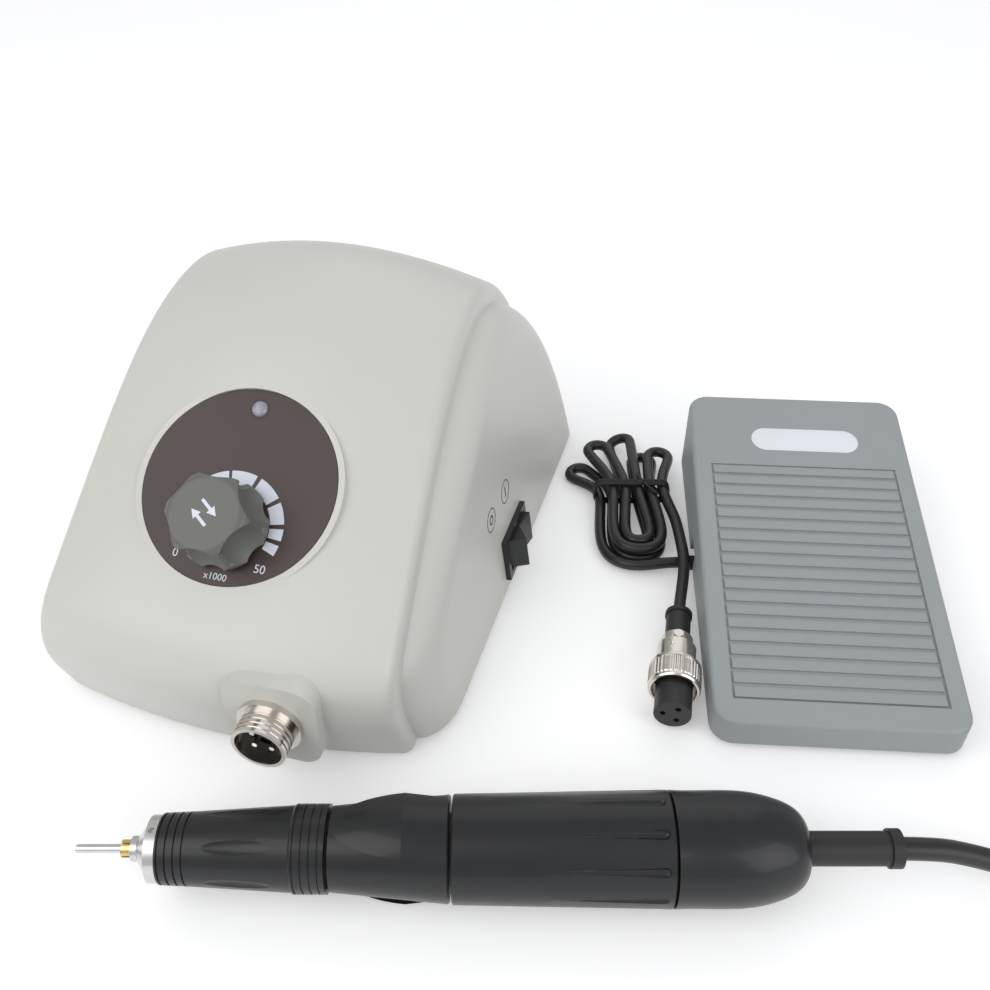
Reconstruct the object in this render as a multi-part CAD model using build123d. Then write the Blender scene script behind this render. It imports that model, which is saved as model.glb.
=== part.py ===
# Dental micromotor set: a desk control unit, a foot pedal on a tied lead and a motor handpiece.
# Millimetres, +Z up, the table top is z = 0, -Y faces the user.
# The origin lies on the table, at the middle of the three rigid pieces' common box.
import os
from math import asin, atan2, ceil, cos, degrees, dist, hypot, pi, radians, sin, sqrt, tan

from build123d import *

# Common clearances
fit_gap = 0.3          # between pieces that move past each other
shaft_gap = 0.05       # radial running clearance of shafts and pins
overrun = 2.0          # how far a cutting tool runs past the face it cuts

# Control unit: where it stands
unit_x = -86.07         # middle of the unit's front edge
unit_y = -66.32
unit_yaw = 14.5        # the unit's front is turned this far towards -X, degrees

# Control unit: housing
housing_length = 186.0
housing_height = 103.0     # from the housing's lower rim to its crest
housing_lift = 2.5         # the lower rim's height over the table
housing_wall = 2.6
front_half_width = 65.0
back_half_width = 72.0
side_draft = 7.0           # degrees the side walls lean in
panel_front_half = 57.0    # raised centre panel
panel_back_half = 54.0
panel_draft = 3.5
panel_step = 4.5           # how far the panel stands out of the shoulders
crown_drop = 8.5           # fall of the crest from the middle to crown_half
crown_half = 50.0
front_bow = 6.0            # sagitta of the front edge over the same half width
nose_bulge = 6.5
corner_radius = 13.0       # front and back corners, in plan
shoulder_radius = 8.0      # between the shoulders and the side walls
panel_edge_radius = 3.0
# Side view of the housing: shares of its length and height, from the front edge to the back edge
side_view_shares = [
    (0.0, 0.0), (-0.024, 0.13), (-0.038, 0.27), (-0.022, 0.375), (0.035, 0.475), (0.17, 0.655),
    (0.31, 0.83), (0.42, 0.935), (0.53, 0.99), (0.62, 0.99), (0.71, 0.93), (0.80, 0.79),
    (0.88, 0.58), (0.95, 0.30), (1.0, 0.0),
]

# Control unit: base plate, feet and screws
base_thickness = 2.5
base_gap = 0.4
foot_radius = 6.0
foot_height = 2.5
foot_inset_x = 16.0
foot_inset_y = 22.0
foot_screw_radius = 1.5
foot_screw_head_radius = 2.8
foot_screw_head_height = 1.5
foot_seat = 0.7            # rubber between the screw's head and the base plate
screw_bite = 14.0          # from the table to the screw's tip
boss_radius = 4.0

# Control unit: dial plate, indicator and speed knob, on a seat that faces up the sloping panel
dial_y = 36.2              # seat's centre, from the unit's front edge
dial_drop = 32.8           # from the housing's crest down to the seat's centre
dial_z = housing_height - dial_drop
dial_slope = 35.3          # degrees between the seat and the table
dial_radius = 29.0
dial_thickness = 1.0
dial_rim = 0.2             # recess left round the plate
dial_bead = 1.8            # width of the raised bead round the plate
dial_bead_depth = 6.0
indicator_radius = 2.4
indicator_height = 1.2
indicator_offset = 23.4    # up the slope from the plate's centre
knob_offset = -12.0        # down the slope from the plate's centre
knob_radius = 12.3
knob_skirt_radius = 13.0
knob_height = 14.5
knob_skirt_height = 2.4
knob_crown_radius = 3.0    # rounding of the knob's upper edge
knob_top = 1.4             # solid wall over the shaft's end
knob_hollow_radius = 8.0
knob_hollow_depth = 4.0
knob_dishes = 6            # finger dishes round the upper edge
knob_dish_radius = 10.0
knob_dish_depth = 1.5
knob_dish_lean = 48.0      # degrees between a dish's face and the knob's top
knob_float = 2.2           # air under the knob, for its push
knob_push = 1.5
shaft_radius = 3.0
shaft_flat = 1.5           # from the shaft's axis to its flat
shaft_in_body = 3.0
bush_radius = 3.6
bush_proud = 3.0           # above the dial plate
dial_wall = 4.0            # wall between the dial seat and the speed control
pot_radius = 8.5
pot_height = 9.0
pot_pocket_depth = 30.0

# Control unit: four-pin socket for the handpiece, low on the front
socket_x = 22.0
socket_z = 25.0
pad_width = 28.0
pad_height = 31.0
pad_depth = 16.0
pad_wall = 3.5
pad_proud = 1.2            # the pad's face in front of the nose
pad_radius = 7.0
socket_thread_radius = 8.0
socket_bore_radius = 6.9
socket_reach = 9.0
socket_rib_pitch = 1.5     # plain grooves stand for the thread
socket_rib_depth = 0.35
socket_rib_width = 0.5
socket_ribs = 4
socket_flange_radius = 9.6
socket_flange_thickness = 1.8
socket_tail_radius = 7.0
socket_tail_length = 12.0
socket_wall = 1.2
socket_insert_recess = 2.5
socket_pin_radius = 0.75
socket_pin_circle = 3.6
socket_pin_reach = 4.5
socket_pin_count = 4
socket_pin_turn = 45.0
socket_nut_radius = 10.0
socket_nut_thickness = 2.0

# Control unit: rocker switch in the right side wall
switch_y = 92.0
switch_z = 14.8
switch_length = 20.6       # along the table
switch_height = 14.4
bezel_length = 22.8
bezel_height = 16.6
bezel_thickness = 1.8
bezel_wall = 1.0
switch_depth = 14.0
rocker_tilt = 11.0         # degrees each side of level
rocker_reach = 5.6         # tips of the key, in front of the wall
rocker_valley = 2.6
rocker_keel = 4.0          # under the pivot
rocker_pivot_depth = 4.0
rocker_pin_radius = 1.2
rocker_pin_bite = 0.7
terminal_width = 4.8
terminal_thickness = 0.8
terminal_length = 7.0
terminal_pitch = 6.5

# Control unit: back panel
recess_width = 76.0        # a recess in the back wall, with a flat connector panel
recess_low = 8.0
recess_high = 48.0
recess_depth = 20.0
inlet_x = -18.0
inlet_side = 27.0
inlet_flange_side = 31.0
inlet_flange_thickness = 2.0
inlet_flange_radius = 3.0
inlet_depth = 24.0
inlet_cavity_width = 23.0
inlet_cavity_height = 15.0
inlet_cavity_depth = 16.0
inlet_cavity_rise = 5.0    # from the inlet's middle to the cavity's
inlet_chamfer = 4.0
inlet_pin_width = 4.0
inlet_pin_thickness = 2.0
inlet_pin_length = 13.0
inlet_pin_pitch = 7.0
inlet_pin_stagger = 2.0
drawer_width = 18.0
drawer_height = 7.0
drawer_depth = 18.0
drawer_drop = 8.6          # from the inlet's middle down to the drawer's
drawer_travel = 14.0
drawer_face = 1.6
drawer_wall = 0.9
fuse_radius = 2.4
fuse_length = 15.0
fuse_inset = 8.0
lead_socket_x = 18.0       # three-pin socket for the pedal's lead
lead_thread_radius = 7.0
lead_tail_radius = 6.6     # behind the flange, in the housing's hole
lead_bore_radius = 5.8
lead_flange_radius = 9.0
lead_flange_thickness = 1.6
lead_socket_reach = 7.0
lead_socket_tail = 10.0
lead_insert_depth = 5.5

# Control unit: what it holds
core_x = -17.0
core_y = 84.0
core_width = 48.0
core_height = 40.0
core_stack = 26.0
limb_width = 8.0           # each outer limb and each yoke
middle_limb_width = 15.0
winding_proud = 8.0
winding_corner = 3.0
board_x = 27.5
board_y = 92.0
board_width = 34.0
board_length = 74.0
board_thickness = 1.6
standoff_radius = 2.6
standoff_height = 5.0
standoff_inset = 4.0
cap_radius = 6.0
cap_height = 20.0
relay_side = 15.0
relay_height = 12.0
sink_length = 40.0
sink_height = 24.0
sink_back = 3.0
sink_fins = 7
sink_fin = 1.4
sink_depth = 12.0

# Foot pedal: where it stands, and its treadle
pedal_x = 97.73             # middle of the pedal's near edge
pedal_y = -71.82
pedal_yaw = -3.5           # the pedal's near edge is turned this far towards +X, degrees
pedal_width = 76.0
pedal_length = 133.0
pedal_front_height = 12.5
pedal_back_height = 36.0
treadle_wall = 2.6
treadle_corner = 7.0
treadle_near_corner = 3.0
treadle_edge = 1.5
skirt_front_z = 2.6        # lower edge of the treadle's skirt, near the hinge
skirt_back_z = 9.2
tread_side = 6.0           # plain border at each side of the ribbed field
tread_near = 8.0
tread_far = 34.0           # plain field beyond the ribs
tread_depth = 0.9
slat_count = 19
slat_gap = 0.8
slat_rise = 0.8
slat_fall = 0.35

# Foot pedal: base, hinge, spring and switch
tray_gap = 0.8             # between the tray's walls and the treadle's skirt
tray_wall = 2.2
tray_low = 1.6             # the tray's underside over the table
tray_floor = 2.0
tray_top = 8.6
hinge_y = 9.0
hinge_z = 7.0
hinge_pin_radius = 1.6
lug_inset = 14.0           # from the treadle's side to the middle of each lug
lug_x = pedal_width / 2 - lug_inset
lug_thickness = 5.0
lug_radius = 3.2
pin_overhang = 1.0
pedal_travel = 3.0         # degrees
pedal_foot_radius = 5.0
pedal_foot_inset = 10.0
spring_y = 104.0
spring_radius = 5.4
spring_wire = 0.6
spring_turns = 6
spring_peg_radius = 4.2
spring_peg_height = 3.0
spring_cup_radius = 7.5
spring_cup_drop = 3.0
switch_arm = 32.0          # from the hinge to the plunger
micro_x = 14.0
micro_length = 19.8
micro_width = 6.4
micro_height = 9.4
plunger_length = 3.0
plunger_width = 2.4
plunger_reach = 2.0
plunger_in = 5.0
pusher_radius = 2.5
gland_y = 75.0             # along the left wall, from the pedal's near edge
gland_z = 4.4
gland_radius = 2.6
gland_reach = 6.0          # out of the tray's wall
gland_collar_radius = 3.6
gland_collar_length = 1.2
gland_root = 3.0
gland_slot_gap = 1.2

# Pedal lead: a limp round cord, tied in a hank beside the pedal
lead_radius = 2.0
hank_x = 46.93
hank_waist_y = 42.68
hank_ring_y = 19.68         # middle of the ring of turns below the tie
hank_step = 4.6            # from strand to strand, and from layer to layer
hank_ring_gain = 3.05      # how much wider the turns are in the ring than under the tie
hank_z = 2.1
hank_waist_lift = 1.0      # over the tie's wire
ear_half_width = 4.0
tie_thickness = 0.8
tie_width = 1.6
tie_gap = 0.2
tie_corner = 2.4
tail_points = [(61.03, 5.18, 9.5), (60.03, -9.32, 9.1)]
pedal_plug_x = 56.03        # where the lead enters the plug's boot
pedal_plug_y = -22.72
pedal_plug_yaw = 10.2      # the plug's axis, degrees from -Y towards -X

# Plug of the pedal's lead
plug_boot_length = 11.5
plug_boot_radius = 4.0
plug_boot_collar_radius = 4.4
plug_boot_collar_length = 1.6
plug_boot_root = 6.0       # of either boot, inside its plug's body
plug_body_radius = 6.2
plug_body_length = 15.0
plug_clamp_length = 4.0
plug_clamp_radius = 5.0
plug_ring_radius = 8.2
plug_ring_length = 9.5
plug_ring_lap = 3.5        # how far the ring reaches back over the body
plug_insert_radius = 5.7
plug_insert_reach = 15.0   # in front of the body
plug_hole_radius = 0.9
plug_hole_circle = 2.9
plug_hole_depth = 6.0
plug_hole_count = 3
plug_hole_turn = 90.0

# Plug of the handpiece's cord
motor_boot_length = 15.0
motor_boot_radius = 4.6
motor_boot_collar_radius = 5.2
motor_body_radius = 7.2
motor_body_length = 18.0
motor_clamp_length = 5.0
motor_clamp_radius = 6.0
motor_ring_radius = 9.7
motor_ring_length = 11.0
motor_ring_lap = 4.0
motor_insert_radius = 6.8
motor_insert_reach = 17.0
motor_hole_radius = 0.85
screw_head_radius = 1.5    # clamp screws of both plugs
screw_head_depth = 0.8
ring_edge = 0.4

# Motor handpiece: it lies along X, nose towards -X. Stations are distances from the nose
handpiece_x = -95.07
handpiece_y = -111.82
handpiece_radius = 14.8    # the motor end, on which it lies
cone_tip_station = -3.7
cone_tip_radius = 3.3
cone_radius = 8.6
cone_rim_length = 2.9
cone_length = 7.9
cone_neck_length = 1.6
cone_waist_share = 0.42    # how far out the cone's hollow flank is at half its height
cone_bore = 2.75
cone_bore_length = 3.9
cone_spigot_radius = 7.0
cone_spigot_length = 5.0
cone_hole_radius = 0.8
cone_hole_depth = 1.5
sleeve_start = 4.2
sleeve_end = 47.4
sleeve_nose_radius = 9.0
sleeve_waist_radius = 9.4
sleeve_tail_radius = 11.3
sleeve_bore = 5.6
ring_zone = 9.0            # length of each grooved end of the sleeve
ring_count = 4
ring_groove_width = 0.5
ring_groove_depth = 0.45
dimple_length = 20.0
dimple_radius = 4.0
dimple_count = 6
dimple_depth = 0.8
chuck_start = 47.9
chuck_end = 78.9
chuck_nose_radius = 10.8
chuck_tail_radius = 13.6
chuck_lobe_radius = 14.5
chuck_lobe_share = 0.80    # height of the lobes' edges, as a share of the ring's radius
chuck_lobe_peak_share = 0.62   # where the lobes stand highest, as a share of the ring's length
chuck_lobe_swell_share = 0.66
motor_start = 79.5
motor_nose_radius = 13.8
motor_end = 136.0
motor_bore = 12.2
motor_front_wall = 4.0
neck_radius = 9.15
neck_start = 42.0
flute_count = 10
flute_start = 100.0
flute_end = 133.0
flute_radius = 1.4
flute_lift = 0.55
edge_break = 0.4
cap_start = 136.4
cap_end = 171.0
cap_wall = 2.2
cap_spigot_radius = 12.15
cap_spigot_start = 122.6
# Rear cap's outline: shares of its length and of the handpiece's radius
cap_shares = [(0.0, 1.0), (0.33, 0.995), (0.64, 0.95), (0.79, 0.86), (0.955, 0.66), (1.0, 0.52)]

# Motor handpiece: strain relief
boot_radius = 4.45
boot_collar_radius = 5.1
boot_collar_length = 3.0
boot_length = 25.0
boot_root_radius = 5.3
boot_root_length = 3.0
motor_cord_radius = 3.0

# Motor handpiece: spindle, chuck and tool
tool_radius = 1.175
tool_length = 44.0
tool_reach = 18.7          # in front of the nose
collet_radius = 2.0
collet_tip_radius = 2.35
collet_tip_length = 2.6
collet_tip_station = -6.4
collet_length = 34.0
collet_slit = 0.5
collet_slit_length = 16.0
collet_travel = 0.8
collet_grip = 0.02         # radial gap round the tool's shank
spindle_start = 1.0
spindle_end = 78.0
spindle_radius = 3.5
spindle_bore_length = 40.0
bearing_radius = 6.5
bearing_width = 4.0
front_bearing_station = 9.4
middle_bearing_station = 68.0
tang_length = 4.0          # drive tang of the motor's shaft
tang_thickness = 1.6
armature_radius = 8.4
armature_start = 92.0
armature_end = 120.0
armature_slots = 9
armature_slot_width = 1.2
armature_slot_depth = 4.0
motor_shaft_radius = 1.6
commutator_radius = 4.0
commutator_start = 122.0
commutator_end = 130.0
commutator_gap = 0.6
magnet_radius = 12.1
magnet_bore = 9.0
magnet_start = 90.0
magnet_end = 122.0
brush_length = 6.5
brush_side = 3.0
brush_station = 126.5
rear_bearing_station = 131.5
rear_bearing_radius = 5.0
rear_bearing_width = 3.0

# Handpiece cord: its route beyond the strain relief, and the coil it is put away in
motor_cord_points = [
    (116.43, -111.82, 13.4), (133.43, -113.32, 8.1), (151.43, -116.32, 4.5), (172.43, -117.32, 3.3),
]
coil_x = 196.43
coil_y = -76.82
coil_radius = 40.5
coil_step = 6.65           # from turn to turn, and from layer to layer
coil_turns = 2.875         # in each layer
coil_z = 3.2
coil_tail = 20.0           # straight, from the coil to the plug

# All cords
cord_sides = 6
wire_sides = 4
loop_share = 5.0           # stretches nearer than this many radii along a cord aren't neighbours


def place_share(low, high, share):
    return low + (high - low) * share


def box_between(low, high):
    """A box from its lowest corner to its highest."""
    size = [high[i] - low[i] for i in range(3)]
    return Pos(*low) * Box(*size, align=(Align.MIN, Align.MIN, Align.MIN))


def rounded_bar(width, height, depth, radius):
    """A bar with rounded long edges, centred on its axis, from z = 0 up to depth."""
    return extrude(RectangleRounded(width, height, radius), amount=depth)


def tube(outer, inner, length):
    """A tube that stands on z = 0."""
    base = (Align.CENTER, Align.CENTER, Align.MIN)
    return Cylinder(outer, length, align=base) - Cylinder(inner, length, align=base)


def rod(radius, length):
    """A rod that stands on z = 0."""
    return Cylinder(radius, length, align=(Align.CENTER, Align.CENTER, Align.MIN))


def unit_place():
    return Pos(unit_x, unit_y, 0) * Rot(0, 0, -unit_yaw)


def crown_share(x):
    return (x / crown_half) ** 2


def housing_section(share, offset, inset, rounding, form):
    """One closed side view of the housing, in a plane that leans and splays with the side wall.

    share runs from -1 at one side to 1 at the other, and offset is the distance inside the wall.
    form holds the front and back half widths, the draft, and the corner and edge radii.
    """
    front_half, back_half, draft, corner, edge = form
    station = share * ((front_half + back_half) / 2 - offset)
    bow = front_bow * crown_share(station)
    back_off = rounding * corner + inset
    height = housing_height - inset - rounding * edge - crown_drop * crown_share(station)
    length = housing_length - bow - back_off * 2
    points = []
    for y_share, z_share in side_view_shares:
        y = bow + back_off + y_share * length
        z = z_share * height
        half = front_half + (back_half - front_half) * y / housing_length
        x = share * (half - tan(radians(draft)) * z - offset)
        points.append((x, y, housing_lift + z))
    return Face(Wire([Spline(*points), Line(points[-1], points[0])]))


def moulded_form(inset, form):
    """The crowned, drafted form of a housing: a middle loft between two rounded edge lofts."""
    edge = form[4]
    body = loft([housing_section(share, edge, inset, 0, form) for share in (-1, -0.5, 0, 0.5, 1)])
    for side in (-1, 1):
        rows = []
        for turn in (90, 67.5, 45, 22.5, 0):
            offset = edge * (1 - cos(radians(turn)))
            rows.append(housing_section(side, offset, inset, 1 - sin(radians(turn)), form))
        body = body + loft(rows)
    return body


def housing_parts():
    """The hollow upper housing and the slab form that its base plate fills."""
    outer_form = (front_half_width, back_half_width, side_draft, corner_radius, shoulder_radius)
    panel_form = (panel_front_half, panel_back_half, panel_draft, panel_edge_radius, panel_edge_radius)
    inner_form = (
        front_half_width - housing_wall, back_half_width - housing_wall, side_draft,
        corner_radius - housing_wall, shoulder_radius,
    )
    base_form = (
        front_half_width - housing_wall - base_gap, back_half_width - housing_wall - base_gap,
        side_draft, corner_radius - housing_wall, shoulder_radius,
    )
    outer = moulded_form(panel_step, outer_form) + moulded_form(0, panel_form)
    inner = Pos(0, 0, -overrun) * moulded_form(panel_step + housing_wall, inner_form)
    slab = Pos(0, 0, -overrun) * moulded_form(panel_step + housing_wall + base_gap, base_form)
    return outer, inner, slab


def dial_place(offset=0.0):
    """The dial seat's frame: +Z out of the panel, +Y up its slope, moved up the slope by offset."""
    return Pos(0, dial_y, dial_z) * Rot(dial_slope, 0, 0) * Pos(0, offset, 0)


def socket_place():
    """The handpiece socket's frame on its pad: +Z points out of the unit's front."""
    return Pos(socket_x, -nose_bulge - pad_proud, socket_z) * Rot(90, 0, 0)


def switch_place():
    """The rocker switch's frame on the right wall: +Z out, +X along the wall to the back."""
    splay = (back_half_width - front_half_width) / housing_length
    lean = tan(radians(side_draft))
    wall_x = front_half_width + splay * switch_y - lean * (switch_z - housing_lift)
    wall = Plane(origin=(wall_x, switch_y, switch_z), x_dir=(splay, 1, 0), z_dir=(1, -splay, lean))
    return wall.location


def recess_y():
    return housing_length - recess_depth


def back_place(x):
    """A frame on the connector panel: +Z out of the unit's back, +Y up."""
    panel = Plane(
        origin=(x, recess_y(), (recess_low + recess_high) / 2), x_dir=(-1, 0, 0), z_dir=(0, 1, 0)
    )
    return panel.location


def base_top():
    return housing_lift + base_thickness


def boss_points():
    near = foot_inset_y
    far = housing_length - foot_inset_y - recess_depth
    near_x = front_half_width - foot_inset_x
    far_x = back_half_width - foot_inset_x
    return [(-near_x, near), (near_x, near), (-far_x, far), (far_x, far)]


def at_bosses(shape, z):
    """Four copies of a shape, one under each screw boss."""
    return [Pos(x, y, z) * shape for x, y in boss_points()]


def block(width, height, depth):
    """A box that stands on z = 0, centred on its axis."""
    return Box(width, height, depth, align=(Align.CENTER, Align.CENTER, Align.MIN))


def housing_shell():
    outer, inner, _ = housing_parts()
    pad = socket_place() * Pos(0, 0, -pad_depth)
    pad = pad * rounded_bar(pad_width, pad_height, pad_depth, pad_radius)
    bead_radius = dial_radius + dial_rim + dial_bead
    bead = dial_place() * Pos(0, 0, -dial_bead_depth) * rod(bead_radius, dial_bead_depth + dial_thickness)
    seat = dial_place() * Pos(0, 0, -dial_bead_depth) * rod(bead_radius, dial_bead_depth)
    wall = housing_wall
    frame = box_between(
        (-recess_width / 2 - wall, recess_y() - wall, recess_low - wall),
        (recess_width / 2 + wall, housing_length + overrun, recess_high + wall),
    )
    body = outer + pad + bead - inner
    body = body + (seat & inner) + (frame & outer)
    for boss in at_bosses(rod(boss_radius, housing_height), base_top()):
        body = body + (boss & inner)
    cuts = [
        socket_place() * Pos(0, 0, -pad_depth * 2) * rounded_bar(
            pad_width - pad_wall * 2, pad_height - pad_wall * 2, pad_depth * 2 - pad_wall,
            pad_radius - pad_wall,
        ),
        socket_place() * Pos(0, 0, -pad_depth) * rod(socket_tail_radius + base_gap / 2, pad_depth + overrun),
        dial_place() * rod(dial_radius + dial_rim, dial_bead_depth),
        dial_place(knob_offset) * Pos(0, 0, -dial_wall - pot_pocket_depth)
        * rod(pot_radius + fit_gap, pot_pocket_depth),
        dial_place(knob_offset) * Pos(0, 0, -pot_pocket_depth) * rod(
            bush_radius + shaft_gap, pot_pocket_depth
        ),
        dial_place(indicator_offset) * Pos(0, 0, -pot_pocket_depth)
        * rod(indicator_radius + shaft_gap, pot_pocket_depth),
        box_between(
            (-recess_width / 2, recess_y(), recess_low),
            (recess_width / 2, housing_length + overrun * 2, recess_high),
        ),
        switch_place() * Pos(0, 0, -switch_depth)
        * block(switch_length + base_gap, switch_height + base_gap, switch_depth + overrun),
        back_place(inlet_x) * Pos(0, 0, -inlet_depth)
        * block(inlet_side + base_gap, inlet_side + base_gap, inlet_depth + overrun),
        back_place(lead_socket_x) * Pos(0, 0, -inlet_depth)
        * rod(lead_tail_radius + base_gap / 2, inlet_depth + overrun),
    ]
    cuts += at_bosses(rod(foot_screw_radius + shaft_gap, screw_bite + overrun), 0)
    for cut in cuts:
        body = body - cut
    return body


def base_plate():
    _, _, slab = housing_parts()
    plate = slab & box_between(
        (-back_half_width, -housing_length, housing_lift), (back_half_width, housing_length * 2, base_top())
    )
    for post in standoffs():
        plate = plate + post
    for hole in at_bosses(rod(foot_screw_radius + shaft_gap, screw_bite), 0):
        plate = plate - hole
    return plate


def board_corners():
    dx = board_width / 2 - standoff_inset
    dy = board_length / 2 - standoff_inset
    return [(board_x + i * dx, board_y + j * dy) for i in (-1, 1) for j in (-1, 1)]


def standoffs():
    return [Pos(x, y, base_top()) * rod(standoff_radius, standoff_height) for x, y in board_corners()]


def rubber_feet():
    foot = rod(foot_radius, foot_height)
    foot = foot - rod(foot_screw_head_radius + fit_gap, foot_height - foot_seat)
    foot = foot - rod(foot_screw_radius + shaft_gap, foot_height + overrun)
    return Compound(at_bosses(foot, 0))


def base_screws():
    seat = foot_height - foot_seat
    head = Pos(0, 0, seat - foot_screw_head_height) * rod(foot_screw_head_radius, foot_screw_head_height)
    screw = head + Pos(0, 0, seat) * rod(foot_screw_radius, screw_bite - seat)
    return Compound(at_bosses(screw, 0))


def dial_plate():
    plate = rod(dial_radius, dial_thickness)
    plate = plate - Pos(0, knob_offset, 0) * rod(bush_radius + shaft_gap, dial_thickness + overrun)
    plate = plate - Pos(0, indicator_offset, 0) * rod(indicator_radius + shaft_gap, dial_thickness + overrun)
    return dial_place() * plate


def indicator_lens():
    low = -dial_wall
    high = dial_thickness + indicator_height - indicator_radius / 2
    dome = [
        (indicator_radius * cos(turn), high + indicator_radius / 2 * sin(turn))
        for turn in (0, pi / 8, pi / 4, pi * 3 / 8, pi / 2)
    ]
    dome[-1] = (0, high + indicator_radius / 2)
    return dial_place(indicator_offset) * turned([(0, low), (indicator_radius, low), *dome])


def revolved(outline):
    """A turned piece from its half outline in (radius, height)."""
    face = Plane.XZ * Face(outline)
    return revolve(face, Axis.Z)


def turned(points):
    """A turned piece from the corners of its half outline in (radius, height)."""
    return revolved(Wire(Polyline(*points, close=True).edges()))


def potentiometer():
    top = dial_thickness + bush_proud
    body = Pos(0, 0, -dial_wall - pot_height) * rod(pot_radius, pot_height)
    body = body + Pos(0, 0, -dial_wall) * rod(bush_radius, dial_wall + top)
    bore = Pos(0, 0, -dial_wall - shaft_in_body) * rod(shaft_radius + shaft_gap, pot_pocket_depth)
    return dial_place(knob_offset) * (body - bore)


def shaft_end():
    return dial_thickness + knob_float + knob_height - knob_top


def shaft_form(gap, low):
    """The speed control's shaft with its flat, grown by gap, from low up to under the knob's top."""
    shaft = Pos(0, 0, low) * rod(shaft_radius + gap, shaft_end() - low)
    flat_low = dial_thickness + bush_proud + knob_push
    flat = Pos(0, shaft_flat + gap + shaft_radius, flat_low) * block(
        shaft_radius * 3, shaft_radius * 2, knob_height
    )
    return shaft - flat


def pot_shaft():
    low = -dial_wall - shaft_in_body + fit_gap
    shaft = shaft_form(0, low)
    tip = Pos(0, 0, shaft_end() - knob_push - fit_gap) * block(knob_radius, knob_radius, knob_height)
    return dial_place(knob_offset) * (shaft - tip)


def speed_knob():
    low = dial_thickness + knob_float
    high = low + knob_height
    crown = high - knob_crown_radius
    side = Polyline(
        (0, low), (knob_skirt_radius, low), (knob_skirt_radius, low + knob_skirt_height),
        (knob_radius, low + knob_skirt_height + knob_skirt_radius - knob_radius), (knob_radius, crown),
    )
    turn = radians(45)
    edge = ThreePointArc(
        (knob_radius, crown),
        (knob_radius - knob_crown_radius * (1 - cos(turn)), crown + knob_crown_radius * sin(turn)),
        (knob_radius - knob_crown_radius, high),
    )
    top = Polyline((knob_radius - knob_crown_radius, high), (0, high), (0, low))
    knob = revolved(Wire([*side.edges(), edge, *top.edges()]))
    dish = rod(knob_dish_radius, knob_height * 2)
    for k in range(knob_dishes):
        turned_to = Rot(0, 0, 360 / knob_dishes * (k + 1 / 2))
        reach = knob_radius - knob_crown_radius * (1 - cos(turn))
        seat = Pos(reach, 0, crown + knob_crown_radius * sin(turn))
        away = Rot(0, 90 - knob_dish_lean, 0) * Pos(knob_dish_radius - knob_dish_depth, 0, 0)
        knob = knob - turned_to * seat * away * Rot(90, 0, 0) * Pos(0, 0, -knob_height) * (
            dish & Pos(0, 0, knob_height) * Sphere(knob_dish_radius)
        )
    knob = knob - Pos(0, 0, low) * rod(knob_hollow_radius, knob_hollow_depth)
    knob = knob - shaft_form(shaft_gap, low)
    return dial_place(knob_offset) * knob


def ribbed_barrel(radius, bore, reach, ribs, pitch, depth, width):
    """A threaded barrel on z = 0: plain grooves stand for its thread."""
    barrel = tube(radius, bore, reach)
    for k in range(ribs):
        barrel = barrel - Pos(0, 0, reach - pitch * (k + 1)) * tube(radius + overrun, radius - depth, width)
    return barrel


def handpiece_socket():
    barrel = ribbed_barrel(
        socket_thread_radius, socket_bore_radius, socket_reach, socket_ribs, socket_rib_pitch,
        socket_rib_depth, socket_rib_width,
    )
    flange = tube(socket_flange_radius, socket_bore_radius, socket_flange_thickness)
    tail = Pos(0, 0, -socket_tail_length) * tube(
        socket_tail_radius, socket_tail_radius - socket_wall, socket_tail_length
    )
    return socket_place() * (barrel + flange + tail)


def socket_core_radius():
    return socket_tail_radius - socket_wall


def pin_circle(shape, circle, count, turn):
    """Copies of a shape spread round a circle."""
    return [Rot(0, 0, turn + 360 / count * k) * Pos(circle, 0, 0) * shape for k in range(count)]


def socket_insert():
    core = Pos(0, 0, -socket_tail_length) * rod(
        socket_core_radius(), socket_tail_length + socket_reach - socket_insert_recess - socket_pin_reach
    )
    drill = rod(socket_pin_radius, socket_tail_length)
    for hole in pin_circle(drill, socket_pin_circle, socket_pin_count, socket_pin_turn):
        core = core - Pos(0, 0, -socket_tail_length / 2) * hole
    return socket_place() * core


def socket_pins():
    low = -socket_tail_length / 2
    pin = rod(socket_pin_radius, socket_reach - socket_insert_recess - low)
    pins = pin_circle(pin, socket_pin_circle, socket_pin_count, socket_pin_turn)
    return socket_place() * Pos(0, 0, low) * Compound(pins)


def socket_nut():
    ring = extrude(RegularPolygon(socket_nut_radius, 6), amount=socket_nut_thickness)
    ring = ring - rod(socket_tail_radius + shaft_gap, socket_nut_thickness + overrun)
    return socket_place() * Pos(0, 0, -pad_wall - socket_nut_thickness) * ring


def rocker_half_length(z):
    """Half length of the rocker key's opening side at a height over its pivot."""
    return switch_length / 2 - bezel_wall - base_gap - z * tan(radians(rocker_tilt))


def switch_bezel():
    body = Pos(0, 0, -switch_depth) * block(switch_length, switch_height, switch_depth)
    body = body + block(bezel_length, bezel_height, bezel_thickness)
    cavity = block(switch_length - bezel_wall * 2, switch_height - bezel_wall * 2, switch_depth * 2)
    body = body - Pos(0, 0, -switch_depth + bezel_wall * 2) * cavity
    pivot = Pos(0, 0, -rocker_pivot_depth) * Rot(90, 0, 0) * Pos(0, 0, -switch_height) * rod(
        rocker_pin_radius + shaft_gap, switch_height * 2
    )
    body = body - (pivot & Pos(0, 0, -switch_depth) * block(
        switch_length, switch_height - bezel_wall / 2, switch_depth
    ))
    blade = block(terminal_thickness, terminal_width, terminal_length)
    for k in (-1, 0, 1):
        body = body + Pos(k * terminal_pitch, 0, -switch_depth - terminal_length) * blade
    return switch_place() * body


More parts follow.
